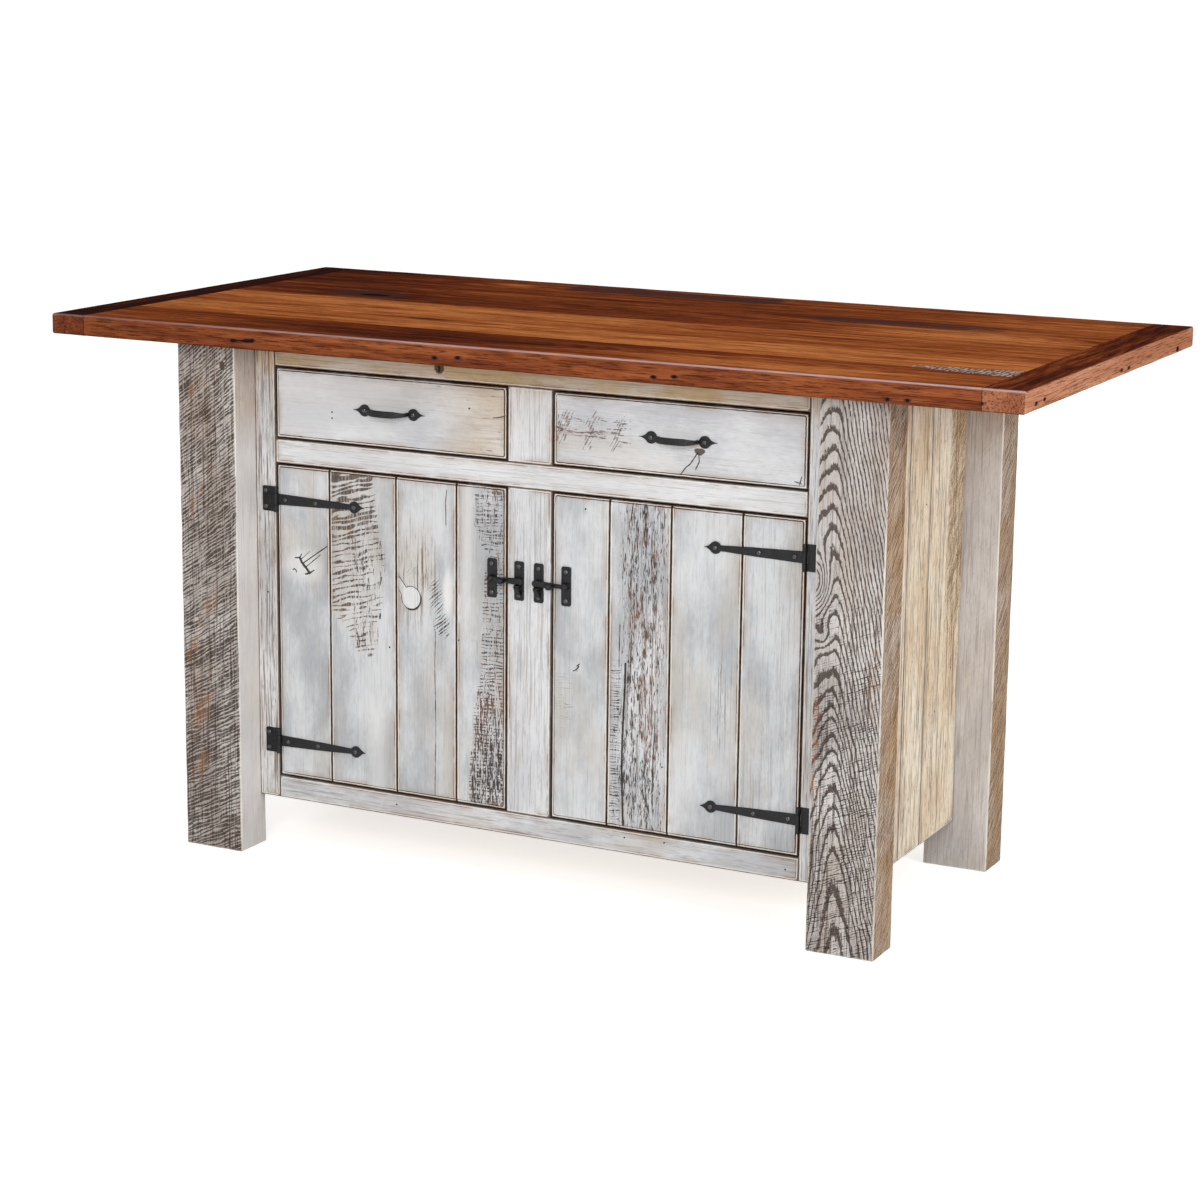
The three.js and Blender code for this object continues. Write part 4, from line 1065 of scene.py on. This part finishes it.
DRAWER_FINE = {
    "left": {ACROSS: [(-0.072, -0.040, 0.8 * MM)], UP: [(0.783, 0.794, 0.7 * MM)]},
    "right": {ACROSS: [(0.264, 0.314, 0.9 * MM), (0.460, 0.476, 0.8 * MM)], UP: [(0.720, 0.775, 0.9 * MM)]},
}
LIPPED_ROUND = ((ACROSS, -1), (ACROSS, 1), (UP, -1), (UP, 1))
for label, marked, seed in (("left", drawer_left_marks, 301), ("right", drawer_right_marks, 302)):
    node = f"drawer_{label}_front"
    board = Board(
        f"drawer_face_{label}", *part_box(node), ACROSS, DOOR_EASE, DOOR_STEP, seed,
        lips=LIPPED_ROUND, fine=DRAWER_FINE[label],
    )
    blank(board, glaze=1.0, open=0.14, bare=0.15)
    shaded_gap_sides(board)
    shadowed_top(board, 0.8 * MM)
    marked(board)
    fit(board.build(whitewash), f"drawer_{label}", "whitewashed_wood", node)


# ---------------------------------------------------------------- strap hinges
# Black forged strap hinges: a leaf on the stile and a tapered strap with a spear end on the door, whose
# rolled knuckles turn on one pin. Each is screwed on over the paint.

def forged_iron(name, dark, dull, specular):
    """Black oxide on hammered iron: dimpled, a little scaly, and clouded a little bluish grey."""
    iron = Finish(name, dull, specular)
    place = iron.node("ShaderNodeTexCoord", output="Object")
    cells = [("Vector", iron.scaled(place, (240, 240, 240))), ("Scale", 1.0), ("Randomness", 1.0)]
    dimple = iron.node("ShaderNodeTexVoronoi", cells, "Distance")
    scale = iron.noise(place, (900, 900, 900))
    cloud = iron.noise(place, (70, 70, 70))
    iron.colour = iron.over(dark, cloud.between(0.42, 0.66) * 0.4, shade(34, 34, 38))
    iron.lay(scale.between(0.56, 0.72) * 0.35, shade(50, 48, 50))
    iron.put(cloud.between(0.3, 0.7, dull * 0.8, dull * 1.2), iron.shader.inputs["Roughness"])
    return iron.done(dimple + scale * 0.3, 0.5 * MM)


black_iron = forged_iron("black_iron", shade(10, 10, 12), 0.46, 0.3)
screw_iron = forged_iron("screw_iron", shade(40, 40, 44), 0.3, 0.9)
old_iron = forged_iron("old_iron", shade(24, 17, 14), 0.9, 0.05)
IRON_THICKNESS = 2.5 * MM
FORGED_STEP = 1.6 * MM
DENT_DEPTH = 0.12 * MM


def shape(name, points, faces, material, smooth=True):
    """A piece made of points and faces."""
    mesh = bpy.data.meshes.new(name)
    mesh.from_pydata([tuple(map(float, p)) for p in points], [], [tuple(map(int, f)) for f in faces])
    mesh.polygons.foreach_set("use_smooth", [smooth] * len(mesh.polygons))
    mesh.materials.append(material)
    made = bpy.data.objects.new(name, mesh)
    bpy.context.scene.collection.objects.link(made)
    return made


def skinned(rings):
    """Vertices and faces of a closed skin over rings of points, with a flat cap on each end."""
    rings = np.array(rings)
    count, size = rings.shape[:2]
    faces = [
        (i * size + j, i * size + (j + 1) % size, (i + 1) * size + (j + 1) % size, (i + 1) * size + j)
        for i in range(count - 1) for j in range(size)
    ]
    faces.append(tuple(range(size - 1, -1, -1)))
    faces.append(tuple((count - 1) * size + j for j in range(size)))
    return rings.reshape(-1, 3), faces


def bar_section(half_width, thickness, round_edge):
    """Points round a flat bar's section, from its back corner over its hammered face to the other corner."""
    r = min(round_edge, half_width * 0.9, thickness * 0.45)
    arc = np.linspace(0, math.pi / 2, 4)
    right = [(half_width - r + r * math.cos(a), thickness - r + r * math.sin(a)) for a in arc]
    face = [(w * (half_width - r), thickness) for w in (0.6, 0.2, -0.2, -0.6)]
    return [(half_width, 0)] + right + face + [(-w, t) for w, t in right[::-1]] + [(-half_width, 0)]


def forged_bar(name, path, widths, thicknesses, wide, out, round_edge=0.8 * MM):
    """A flat bar forged along a path. wide is the direction across its face, out the way the face looks,
    as one vector or one for each place on the path."""
    path = np.array(path, float)
    wide = np.broadcast_to(np.array(wide, float), path.shape)
    out = np.broadcast_to(np.array(out, float), path.shape)
    rings = []
    for place, half, thick, across, face in zip(path, widths, thicknesses, wide, out):
        rings.append([place + across * w + face * t for w, t in bar_section(half, thick, round_edge)])
    points, faces = skinned(rings)
    dents = waves(points[:, 0] * 150 + points[:, 1] * 60, points[:, 2] * 150, len(name)) * DENT_DEPTH
    size = len(rings[0])
    inner = np.repeat(path, size, axis=0)
    pull = inner - points
    pull /= np.maximum(np.linalg.norm(pull, axis=1, keepdims=True), 1e-6)
    off_the_back = np.arange(len(points)) % size % (size - 1) > 0
    points = points + pull * (np.abs(dents) * off_the_back)[:, None]
    return shape(name, points, faces, black_iron)


def turned(name, profile, centre, axis, material=black_iron, sides=24):
    """A round piece turned about an axis, from a profile of (radius, distance along it)."""
    axis = Vector(axis)
    side = axis.orthogonal().normalized()
    other = axis.cross(side)
    turns = [2 * math.pi * k / sides for k in range(sides)]
    round_it = [side * math.cos(t) + other * math.sin(t) for t in turns]
    rings = [[Vector(centre) + axis * along + way * radius for way in round_it] for radius, along in profile]
    return shape(name, *skinned(rings), material)


def joined(name, parts):
    """Several shapes made into one piece."""
    points, faces = [], []
    for part in parts:
        first = len(points)
        points += [tuple(v.co) for v in part.data.vertices]
        faces += [tuple(first + v for v in p.vertices) for p in part.data.polygons]
        bpy.data.objects.remove(part)
    return shape(name, points, faces, black_iron)


def spade_profile(lobe, radius, tip, neck):
    """Half widths along a strap's end: neck, round lobe and drawn-out point, as (place, half width)."""
    first = math.pi - math.asin(neck / radius)
    lobe_points = [(lobe + radius * math.cos(a), radius * math.sin(a)) for a in np.linspace(first, 0.85, 12)]
    shoulder = lobe_points[-1]
    waist = (lobe + 1.25 * radius, neck * 0.25)
    point = []
    for t in np.linspace(0.12, 1, 8):
        along = (1 - t) ** 2 * shoulder[0] + 2 * t * (1 - t) * waist[0] + t * t * tip
        half = (1 - t) ** 2 * shoulder[1] + 2 * t * (1 - t) * waist[1]
        point.append((along, max(half, 0.25 * MM)))
    return lobe_points + point


FRONT_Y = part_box("stile_left")[0].y
OUT = np.array((0.0, -1.0, 0.0))
HINGE_ROOT, HINGE_NECK, HINGE_LOBE = 9.5 * MM, 4.5 * MM, 10 * MM
BARREL = 4 * MM
KNUCKLE_GAP = 0.3 * MM


UPWARDS = (0, 0, 1)
PIN = [(0.5 * MM, 0), (1.6 * MM, 0.3 * MM), (1.7 * MM, 0.9 * MM), (1.7 * MM, 42 * MM), (0.5 * MM, 43 * MM)]


def knuckle(name, x, y, low, high):
    """One rolled knuckle, a little rounded at its ends."""
    soft, length = 0.6 * MM, high - low
    profile = [(BARREL - soft, 0), (BARREL - 0.15 * soft, 0.3 * soft), (BARREL, soft)]
    profile += [(radius, length - along) for radius, along in profile[::-1]]
    return turned(name, profile, (x, y, low), UPWARDS)


for side, label in ((-1, "left"), (1, "right")):
    for level in ("upper", "lower"):
        plate_low, plate_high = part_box(f"hinge_plate_{label}_{level}")
        strap_low, strap_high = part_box(f"hinge_strap_{label}_{level}")
        height = (plate_low.z + plate_high.z) / 2
        axis_x = (plate_low.x if side > 0 else plate_high.x) + side * BARREL
        axis_y = FRONT_Y - BARREL - KNUCKLE_GAP
        length = abs((strap_low.x if side > 0 else strap_high.x) - axis_x)
        ends = [(0.0, HINGE_ROOT), (0.5 * length, 0.45 * HINGE_ROOT + 0.55 * HINGE_NECK + 0.4 * MM)]
        ends += spade_profile(length - 19 * MM, HINGE_LOBE, length, HINGE_NECK)
        places = np.arange(0, length, FORGED_STEP).tolist() + [length - 0.8 * MM, length]
        places = sorted(set(places) | {p for p, _ in ends})
        halves = np.interp(places, *zip(*ends))
        path = [(axis_x - side * p, FRONT_Y, height) for p in places]
        thick = [IRON_THICKNESS] * len(places)
        leaf = forged_bar("leaf", path, halves, thick, (0, 0, -side), OUT)
        middle = knuckle("roll", axis_x, axis_y, height - HINGE_ROOT, height + HINGE_ROOT)
        strap = joined(f"strap_{label}_{level}", [leaf, middle])
        fit(strap, f"door_{label}", "black_iron", f"hinge_strap_{label}_{level}")
        far = plate_high.x if side > 0 else -plate_low.x
        near = abs(axis_x) + BARREL + KNUCKLE_GAP
        half_height = (plate_high.z - plate_low.z) / 2
        inset = [0, 0.25 * MM, 0.9 * MM, 2 * MM]
        stations = [near + i for i in inset] + list(np.arange(near + 3 * MM, far - 2.2 * MM, FORGED_STEP))
        stations += [far - i for i in inset[::-1]]
        corner = [half_height - max(0, 1.6 * MM - (far - s)) * 0.9 for s in stations]
        path = [(side * s, FRONT_Y, height) for s in stations]
        thick = [IRON_THICKNESS * (0.7 if far - s < 0.2 * MM else 1) for s in stations]
        parts = [forged_bar("leaf", path, corner, thick, (0, 0, side), OUT)]
        for low, high in ((-half_height, -HINGE_ROOT - KNUCKLE_GAP), (HINGE_ROOT + KNUCKLE_GAP, half_height)):
            parts.append(knuckle("roll", axis_x, axis_y, height + low, height + high))
            web = [(x, FRONT_Y, height + (low + high) / 2) for x in (axis_x, side * (near + 1 * MM))]
            halves = [(high - low) / 2] * 2
            parts.append(forged_bar("web", web, halves, [IRON_THICKNESS] * 2, (0, 0, side), OUT))
        parts.append(turned("pin", PIN, (axis_x, axis_y, height - half_height), UPWARDS, sides=12))
        plate = joined(f"hinge_leaf_{label}_{level}", parts)
        fit(plate, "case", "black_iron", f"hinge_plate_{label}_{level}")


# ---------------------------------------------------------------- latches
# A plate on each door carries the bar on a stud, and the bar drops onto the keeper screwed to the centre
# stile. The bar is lifted by its ball knob.

LATCH_HEIGHT = 0.522
PLATE_CORNER = 2.5 * MM
COLLAR_RADIUS = 5.5 * MM
STUD = ((2.3, 0), (2.3, 8.4), (4.6, 8.4), (4.9, 8.9), (3.6, 10.0), (1.4, 10.4))
BAR_BACK, BAR_FRONT, BAR_THICKNESS = 5.3 * MM, 10.3 * MM, 5 * MM
BAR_HUB = ((-5.5, 1.2), (-4.6, 3.6), (-2.5, 5.2), (0, 5.7), (3, 5.0), (7, 3.4), (14, 3.4))
BAR_HEAD = ((19, 4.9), (9, 5.5), (3.5, 5.4), (1.2, 4.4), (0, 2.4))
KNOB_AT, KNOB_OUT, KNOB_RADIUS = 24 * MM, 24 * MM, 6 * MM
HORN = ((0.0, -17), (5, -14), (8.2, -9), (11, -4.5), (14.6, -1.8))
HORN_HALVES = (4.5, 4.6, 4.4, 4.0, 3.0)
PRONG = ((0.0, 4.5, 3), (4, 4.5, 3), (8, 4.4, 3), (12, 4.1, 3), (14.2, 3.2, 2.4))


def in_metres(sizes):
    """Sizes of a table, which are written in millimetres."""
    return [size * MM for size in sizes]


def upright_plate(name, x, low, high, half_width):
    """A narrow upright plate with clipped corners."""
    inset = np.array([0, 0.2, 0.55, 1]) * PLATE_CORNER
    middle = np.arange(low + 4 * MM, high - 3.4 * MM, FORGED_STEP)
    stations = [*(low + inset), *middle, *(high - inset)[::-1]]
    halves, thick = [], []
    for z in stations:
        end = min(z - low, high - z)
        halves.append(half_width - max(0, PLATE_CORNER - end) * 0.8)
        thick.append(IRON_THICKNESS * (0.75 if end < 0.1 * MM else 1))
    return forged_bar(name, [(x, FRONT_Y, z) for z in stations], halves, thick, (1, 0, 0), OUT)


def bowed(name, path, widths, thick, across, round_edge=0.8 * MM):
    """A bar forged along a curve, whose face follows it on the outside."""
    tangents = np.gradient(np.array(path), axis=0)
    tangents /= np.linalg.norm(tangents, axis=1, keepdims=True)
    faces_out = np.cross(tangents, across)
    if faces_out[0, 1] > 0:
        faces_out = -faces_out
    return forged_bar(name, path, widths, [thick] * len(path), across, faces_out, round_edge)


for side, label in ((-1, "left"), (1, "right")):
    low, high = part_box(f"latch_plate_{label}")
    bar_low, bar_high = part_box(f"latch_bar_{label}")
    x, half = (low.x + high.x) / 2, (high.x - low.x) / 2
    bar_front, bar_back = FRONT_Y - BAR_FRONT, FRONT_Y - BAR_BACK
    plate = upright_plate("plate", x, low.z, high.z, half)
    collar_length = FRONT_Y - bar_back - 0.3 * MM - IRON_THICKNESS + 1 * MM
    collar_foot = (x, FRONT_Y - IRON_THICKNESS + 1 * MM, LATCH_HEIGHT)
    collar = turned("collar", [(COLLAR_RADIUS, 0), (COLLAR_RADIUS, collar_length)], collar_foot, OUT)
    stud = turned("stud", [in_metres(ring) for ring in STUD], (x, FRONT_Y - 2.2 * MM, LATCH_HEIGHT), OUT)
    piece = joined(f"latch_backplate_{label}", [plate, collar, stud])
    fit(piece, f"door_{label}", "black_iron", f"latch_plate_{label}")
    # bar: hub, neck, and a deep rounded head that rests on the keeper
    reach = abs((bar_low.x if side > 0 else bar_high.x) - x)
    profile = [in_metres(pair) for pair in BAR_HUB]
    profile += [(reach - before * MM, half_width * MM) for before, half_width in BAR_HEAD]
    places = np.arange(-5.5 * MM, reach - 1 * MM, FORGED_STEP).tolist() + [reach - 0.5 * MM, reach]
    halves = np.interp(places, *zip(*profile))
    path = [(x - side * p, bar_back, LATCH_HEIGHT) for p in places]
    thick = [BAR_THICKNESS if 1 * MM < p + 5.5 * MM and reach - p > 0.8 * MM else 4 * MM for p in places]
    bar = forged_bar("bar", path, halves, thick, (0, 0, -side), OUT, 1.5 * MM)
    stem = [(3.2 * MM, 0), (2.4 * MM, 1.5 * MM), (2.2 * MM, 3 * MM)]
    ball_centre = -((FRONT_Y - KNOB_OUT) - bar_front) - KNOB_RADIUS
    ball = [
        (KNOB_RADIUS * math.sin(a), ball_centre - KNOB_RADIUS * math.cos(a))
        for a in np.linspace(0.4, math.pi - 0.05, 14)
    ]
    knob_foot = (x - side * KNOB_AT, bar_front + 0.3 * MM, LATCH_HEIGHT)
    knob = turned("knob", stem + ball, knob_foot, OUT, sides=28)
    fit(joined(f"latch_lever_{label}", [bar, knob]), f"latch_{label}", "black_iron", f"latch_bar_{label}")
    # keeper: a plate with a horn that curves out under the bar, and a straight finger that the bar rests on
    low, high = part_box(f"keeper_{label}")
    x = (low.x + high.x) / 2
    plate = upright_plate("plate", x, low.z, high.z, half)
    top = LATCH_HEIGHT - 5.8 * MM
    horn_path = [(x, FRONT_Y - 0.6 * MM - y * MM, top + z * MM) for y, z in HORN]
    horn = bowed("horn", horn_path, in_metres(HORN_HALVES), 2.4 * MM, (1, 0, 0))
    prong_path = [(x, FRONT_Y - 1 * MM - y * MM, top - 3 * MM) for y, _, _ in PRONG]
    halves, thick = (in_metres(sizes) for sizes in list(zip(*PRONG))[1:])
    prong = forged_bar("prong", prong_path, halves, thick, (-1, 0, 0), UPWARDS)
    fit(joined(f"keeper_hook_{label}", [plate, horn, prong]), "case", "black_iron", f"keeper_{label}")


# ---------------------------------------------------------------- drawer pulls
# Forged pulls: a bowed grip whose ends are drawn down to necks and spread into spade lobes, each held to
# the drawer by one screw.

LOBE_AT, LOBE_RADIUS, LOBE_NECK = 46.5 * MM, 10 * MM, 2.5 * MM
GRIP_HALF, GRIP_THICKNESS = LOBE_AT - 10.5 * MM, 3.6 * MM
for label in ("left", "right"):
    low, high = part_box(f"drawer_{label}_pull")
    centre, half_length = (low + high) / 2, (high.x - low.x) / 2
    parts = []
    for side in (-1, 1):
        ends = [(LOBE_AT - 15 * MM, LOBE_NECK)] + spade_profile(LOBE_AT, LOBE_RADIUS, half_length, LOBE_NECK)
        places = sorted(set(np.arange(ends[0][0], half_length, FORGED_STEP).tolist()) | {p for p, _ in ends})
        halves = np.interp(places, *zip(*ends))
        path = [(centre.x + side * p, FRONT_Y, centre.z) for p in places]
        parts.append(forged_bar("lobe", path, halves, [IRON_THICKNESS] * len(places), (0, 0, side), OUT))
    bow = FRONT_Y - low.y - IRON_THICKNESS - GRIP_THICKNESS * 0.5
    path, widths = [], []
    for a in np.linspace(-math.pi / 2, math.pi / 2, 41):
        along, rise = math.sin(a), max(0.0, math.cos(a)) ** 0.62
        path.append((centre.x + GRIP_HALF * along, FRONT_Y - 0.4 * MM - bow * rise, centre.z))
        widths.append(2.8 * MM + 2.7 * MM * min(1.0, 2.2 * (1 - abs(along))))
    parts.append(bowed("grip", path, widths, GRIP_THICKNESS, (0, 0, 1), 1.2 * MM))
    fit(joined(f"pull_{label}", parts), f"drawer_{label}", "black_iron", f"drawer_{label}_pull")


# ---------------------------------------------------------------- screws and old nails
# Black round-headed screws hold the ironwork, and the reclaimed boards still have the ends of old nails in
# them. Both are set by the same geometry tree, turned at random, and made one mesh for each body.

SCREW_DIAMETER, NAIL_DIAMETER = 7.6 * MM, 3.0 * MM
EDGE_NAIL_DIAMETER, END_NAIL_DIAMETER, SIDE_NAIL_DIAMETER = 5.4 * MM, 4.4 * MM, 3.2 * MM
STRAP_SCREWS = (17.5 * MM, 78 * MM, 153 * MM)
SIDE_NAILS = (
    (-0.16, 0.70), (-0.15, 0.52), (-0.05, 0.66), (0.02, 0.30), (0.09, 0.36), (0.13, 0.20), (0.10, 0.55),
)


def fastener_tree():
    """Sets a copy of a fastener at every point of a mesh, facing one way and turned about its own shank."""
    tree = bpy.data.node_groups.new("set_fasteners", "GeometryNodeTree")
    tree.interface.new_socket("Geometry", in_out="OUTPUT", socket_type="NodeSocketGeometry")
    for name, kind in (
        ("Geometry", "Geometry"), ("Fastener", "Object"), ("Diameter", "Float"), ("Facing", "Rotation"),
        ("Finish", "Material"), ("Seed", "Int"),
    ):
        tree.interface.new_socket(name, in_out="INPUT", socket_type="NodeSocket" + kind)
    start, end, template, placed, turn, turned_round, real, finish = (tree.nodes.new(kind) for kind in (
        "NodeGroupInput", "NodeGroupOutput", "GeometryNodeObjectInfo", "GeometryNodeInstanceOnPoints",
        "FunctionNodeRandomValue", "GeometryNodeRotateInstances", "GeometryNodeRealizeInstances",
        "GeometryNodeSetMaterial",
    ))
    turn.data_type = "FLOAT_VECTOR"
    turn.inputs[0].default_value, turn.inputs[1].default_value = (0, 0, 0), (0, 2 * math.pi, 0)
    for source, output, target, socket in (
        (start, "Geometry", placed, "Points"),
        (start, "Fastener", template, "Object"),
        (template, "Geometry", placed, "Instance"),
        (start, "Facing", placed, "Rotation"),
        (start, "Diameter", placed, "Scale"),
        (placed, "Instances", turned_round, "Instances"),
        (start, "Seed", turn, "Seed"),
        (turn, 0, turned_round, "Rotation"),
        (turned_round, "Instances", real, "Geometry"),
        (real, "Geometry", finish, "Geometry"),
        (start, "Finish", finish, "Material"),
        (finish, "Geometry", end, "Geometry"),
    ):
        tree.links.new(source.outputs[output], target.inputs[socket])
    return tree


def unit_fastener(name, profile, sides, reach):
    """A round fastener one unit across that looks to the front, with its outline varied by reach."""
    turns = [2 * math.pi * k / sides for k in range(sides)]
    rings = []
    for radius, along, *rest in profile:
        radii = [reach(radius, k, turns[k], *rest) for k in range(sides)]
        rings.append([(r * math.cos(t), -along, r * math.sin(t)) for r, t in zip(radii, turns)])
    return shape(name, *skinned(rings), black_iron)


def crossed(radius, _, turn, cross):
    """The recess of a screw's head, which narrows to a cross by a share from 0 to 1."""
    return radius * (1 - cross + cross * abs(math.cos(2 * turn)) ** 0.8)


def wobbly(radius, number, _):
    """The uneven outline of a nail's broken end."""
    return radius * (1 + 0.16 * math.sin(3 * number) * math.cos(1.7 * number))


def set_fasteners(name, body, places, template, finish, diameter, facing=(0, 0, 0), seed=1):
    """One piece of the same fasteners, all on one body, at those places."""
    mesh = bpy.data.meshes.new(name)
    mesh.from_pydata([tuple(p) for p in places], [], [])
    piece = bpy.data.objects.new(name, mesh)
    bpy.context.scene.collection.objects.link(piece)
    modifier = piece.modifiers.new("fasteners", "NODES")
    modifier.node_group = fasteners
    values = {"Fastener": template, "Diameter": diameter, "Facing": facing, "Finish": finish, "Seed": seed}
    for item in fasteners.interface.items_tree:
        if item.in_out == "INPUT" and item.name in values:
            modifier[item.identifier] = values[item.name]
    depsgraph = bpy.context.evaluated_depsgraph_get()
    made = bpy.data.meshes.new_from_object(piece.evaluated_get(depsgraph), depsgraph=depsgraph)
    piece.modifiers.clear()
    piece.data = made
    fit(piece, body, "black_iron")


fasteners = fastener_tree()
SCREW_PROFILE = (
    (0.22, -0.30, 0), (0.22, -0.02, 0), (0.47, -0.01, 0), (0.50, 0.05, 0), (0.46, 0.14, 0), (0.36, 0.21, 0),
    (0.25, 0.245, 0), (0.20, 0.25, 0.6), (0.17, 0.16, 0.6), (0.10, 0.10, 0.6),
)
NAIL_PROFILE = ((0.46, -0.4), (0.5, 0.02), (0.40, 0.06), (0.22, 0.03))
screw = unit_fastener("screw_template", SCREW_PROFILE, 24, crossed)
nail = unit_fastener("nail_template", NAIL_PROFILE, 10, wobbly)
IRON_FACE = FRONT_Y - IRON_THICKNESS
screw_places = {"case": [], "door_left": [], "door_right": [], "drawer_left": [], "drawer_right": []}
for side, label in ((-1, "left"), (1, "right")):
    for level in ("upper", "lower"):
        low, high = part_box(f"hinge_plate_{label}_{level}")
        middle = (low.z + high.z) / 2
        leaf_x = high.x - 6.5 * MM if side > 0 else low.x + 6.5 * MM
        screw_places["case"] += [(leaf_x, IRON_FACE, middle + rise) for rise in (-13.5 * MM, 13.5 * MM)]
        pin_x = (low.x if side > 0 else high.x) + side * BARREL
        screw_places[f"door_{label}"] += [(pin_x - side * run, IRON_FACE, middle) for run in STRAP_SCREWS]
    for node, body in ((f"latch_plate_{label}", f"door_{label}"), (f"keeper_{label}", "case")):
        low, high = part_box(node)
        middle = (low.x + high.x) / 2
        screw_places[body] += [(middle, IRON_FACE, LATCH_HEIGHT + rise) for rise in (-24 * MM, 24 * MM)]
    low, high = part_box(f"drawer_{label}_pull")
    middle = (low + high) / 2
    screw_places[f"drawer_{label}"] += [(middle.x + run, IRON_FACE, middle.z) for run in (-LOBE_AT, LOBE_AT)]
for number, (body, places) in enumerate(screw_places.items()):
    set_fasteners(f"screws_{body}", body, places, screw, screw_iron, SCREW_DIAMETER, seed=number)

nail_places = {
    "door_left": ((-0.2646, 0.3815), (-0.1314, 0.4095)),
    "door_right": ((0.244, 0.2438), (0.1015, 0.652)),
    "drawer_left": ((-0.3737, 0.770), (-0.3737, 0.7598), (-0.112, 0.797)),
    "case": ((-0.252, 0.1095), (0.178, 0.116), (0.25, 0.118), (0.463, 0.106), (-0.49, 0.62), (-0.505, 0.45)),
}
for number, (body, places) in enumerate(nail_places.items(), 20):
    places = [(x, FRONT_Y, z) for x, z in places]
    set_fasteners(f"nails_{body}", body, places, nail, old_iron, NAIL_DIAMETER, seed=number)
edge_nails = [(x, TOP_FRONT + 0.4 * MM, z) for x, z in EDGE_NAILS]
set_fasteners("nails_top_front", "case", edge_nails, nail, old_iron, EDGE_NAIL_DIAMETER, seed=31)
top_right, quarter_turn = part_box("breadboard_right")[1].x, math.pi / 2
end_nails = [(top_right - 0.4 * MM, y, z) for y, z in END_NAILS]
facing = (0, 0, quarter_turn)
set_fasteners("nails_top_right", "case", end_nails, nail, old_iron, END_NAIL_DIAMETER, facing, 32)
for side, label in ((-1, "left"), (1, "right")):
    low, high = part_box(f"side_panel_{label}")
    places = [(high.x if side > 0 else low.x, y, z) for y, z in SIDE_NAILS]
    facing = (0, 0, side * quarter_turn)
    name, seed = f"nails_side_{label}", 33 + side
    set_fasteners(name, "case", places, nail, old_iron, SIDE_NAIL_DIAMETER, facing, seed)
for template in (screw, nail):
    bpy.data.objects.remove(template)


# ---------------------------------------------------------------- studio
# A pale sweep of floor that runs into a white surround, lit by one large softbox in front, one at the
# right side and a weaker one behind. The camera was found from the object's own corners in the photograph.

FLOOR_HALF = 400
FLOOR_GLOW, SURROUND_SEEN, SURROUND_LIGHT = 0.64, 1.0, 0.5
WHITE = (1, 1, 1, 1)


def seen_directly(tree):
    """1 for what the camera sees itself, in a mirror or through glass, and 0 for what only gives light."""
    path = tree.nodes.new("ShaderNodeLightPath")
    seen = path.outputs["Is Camera Ray"]
    for ray in ("Is Glossy Ray", "Is Transmission Ray"):
        larger = tree.nodes.new("ShaderNodeMath")
        larger.operation = "MAXIMUM"
        tree.links.new(seen, larger.inputs[0])
        tree.links.new(path.outputs[ray], larger.inputs[1])
        seen = larger.outputs[0]
    return seen


paper = Finish("pale_floor", 0.9, 0.0)
paper.shader.inputs["Base Color"].default_value = (0.8, 0.8, 0.8, 1)
paper.shader.inputs["Emission Color"].default_value = WHITE
paper.put(Value(paper, seen_directly(paper.tree)) * FLOOR_GLOW, paper.shader.inputs["Emission Strength"])
corners = [(-FLOOR_HALF, -FLOOR_HALF, 0), (FLOOR_HALF, -FLOOR_HALF, 0), (FLOOR_HALF, FLOOR_HALF, 0),
           (-FLOOR_HALF, FLOOR_HALF, 0)]
floor = shape("floor", corners, [(0, 1, 2, 3)], paper.material, False)

world = bpy.data.worlds.new("studio")
bpy.context.scene.world = world
world.use_nodes = True
sky = world.node_tree
level = sky.nodes.new("ShaderNodeMapRange")
level.inputs["To Min"].default_value = SURROUND_LIGHT
level.inputs["To Max"].default_value = SURROUND_SEEN
sky.links.new(seen_directly(sky), level.inputs["Value"])
sky.nodes["Background"].inputs["Color"].default_value = WHITE
sky.links.new(level.outputs["Result"], sky.nodes["Background"].inputs["Strength"])

LIT_PLACE = Vector((0, 0, 0.5))


def softbox(name, place, size, power):
    """A square light of that width in metres and power in watts, aimed at the middle of the object."""
    light = bpy.data.lights.new(name, "AREA")
    light.shape, light.size, light.energy = "SQUARE", size, power
    lamp = bpy.data.objects.new(name, light)
    lamp.location = place
    lamp.rotation_euler = (LIT_PLACE - Vector(place)).to_track_quat("-Z", "Y").to_euler()
    bpy.context.scene.collection.objects.link(lamp)


softbox("key", (1.5, -5.0, 2.3), 2.4, 150)
softbox("side", (4.9, -1.6, 2.2), 2.0, 100)
softbox("rear", (-2.4, 5.2, 1.0), 2.4, 70)

CAMERA_PLACE = (2.2020, -4.4064, 1.5309)
YAW, PITCH, ROLL = (math.radians(angle) for angle in (26.924, -12.616, 0.625))
FOCAL_PIXELS, FRAME_PIXELS, SENSOR = 2924.9, 1200, 36.0
forward = Vector((-math.sin(YAW) * math.cos(PITCH), math.cos(YAW) * math.cos(PITCH), math.sin(PITCH)))
level_right = Vector((math.cos(YAW), math.sin(YAW), 0))
level_up = level_right.cross(forward)
right = level_right * math.cos(ROLL) + level_up * math.sin(ROLL)
up = level_up * math.cos(ROLL) - level_right * math.sin(ROLL)
lens = bpy.data.cameras.new("camera")
lens.sensor_width = SENSOR
lens.lens = FOCAL_PIXELS / FRAME_PIXELS * SENSOR
camera = bpy.data.objects.new("camera", lens)
columns = [(*axis, 0) for axis in (right, up, -forward)] + [(*CAMERA_PLACE, 1)]
camera.matrix_world = Matrix(columns).transposed()
bpy.context.scene.collection.objects.link(camera)
bpy.context.scene.camera = camera
bpy.context.scene.view_settings.view_transform = "Standard"
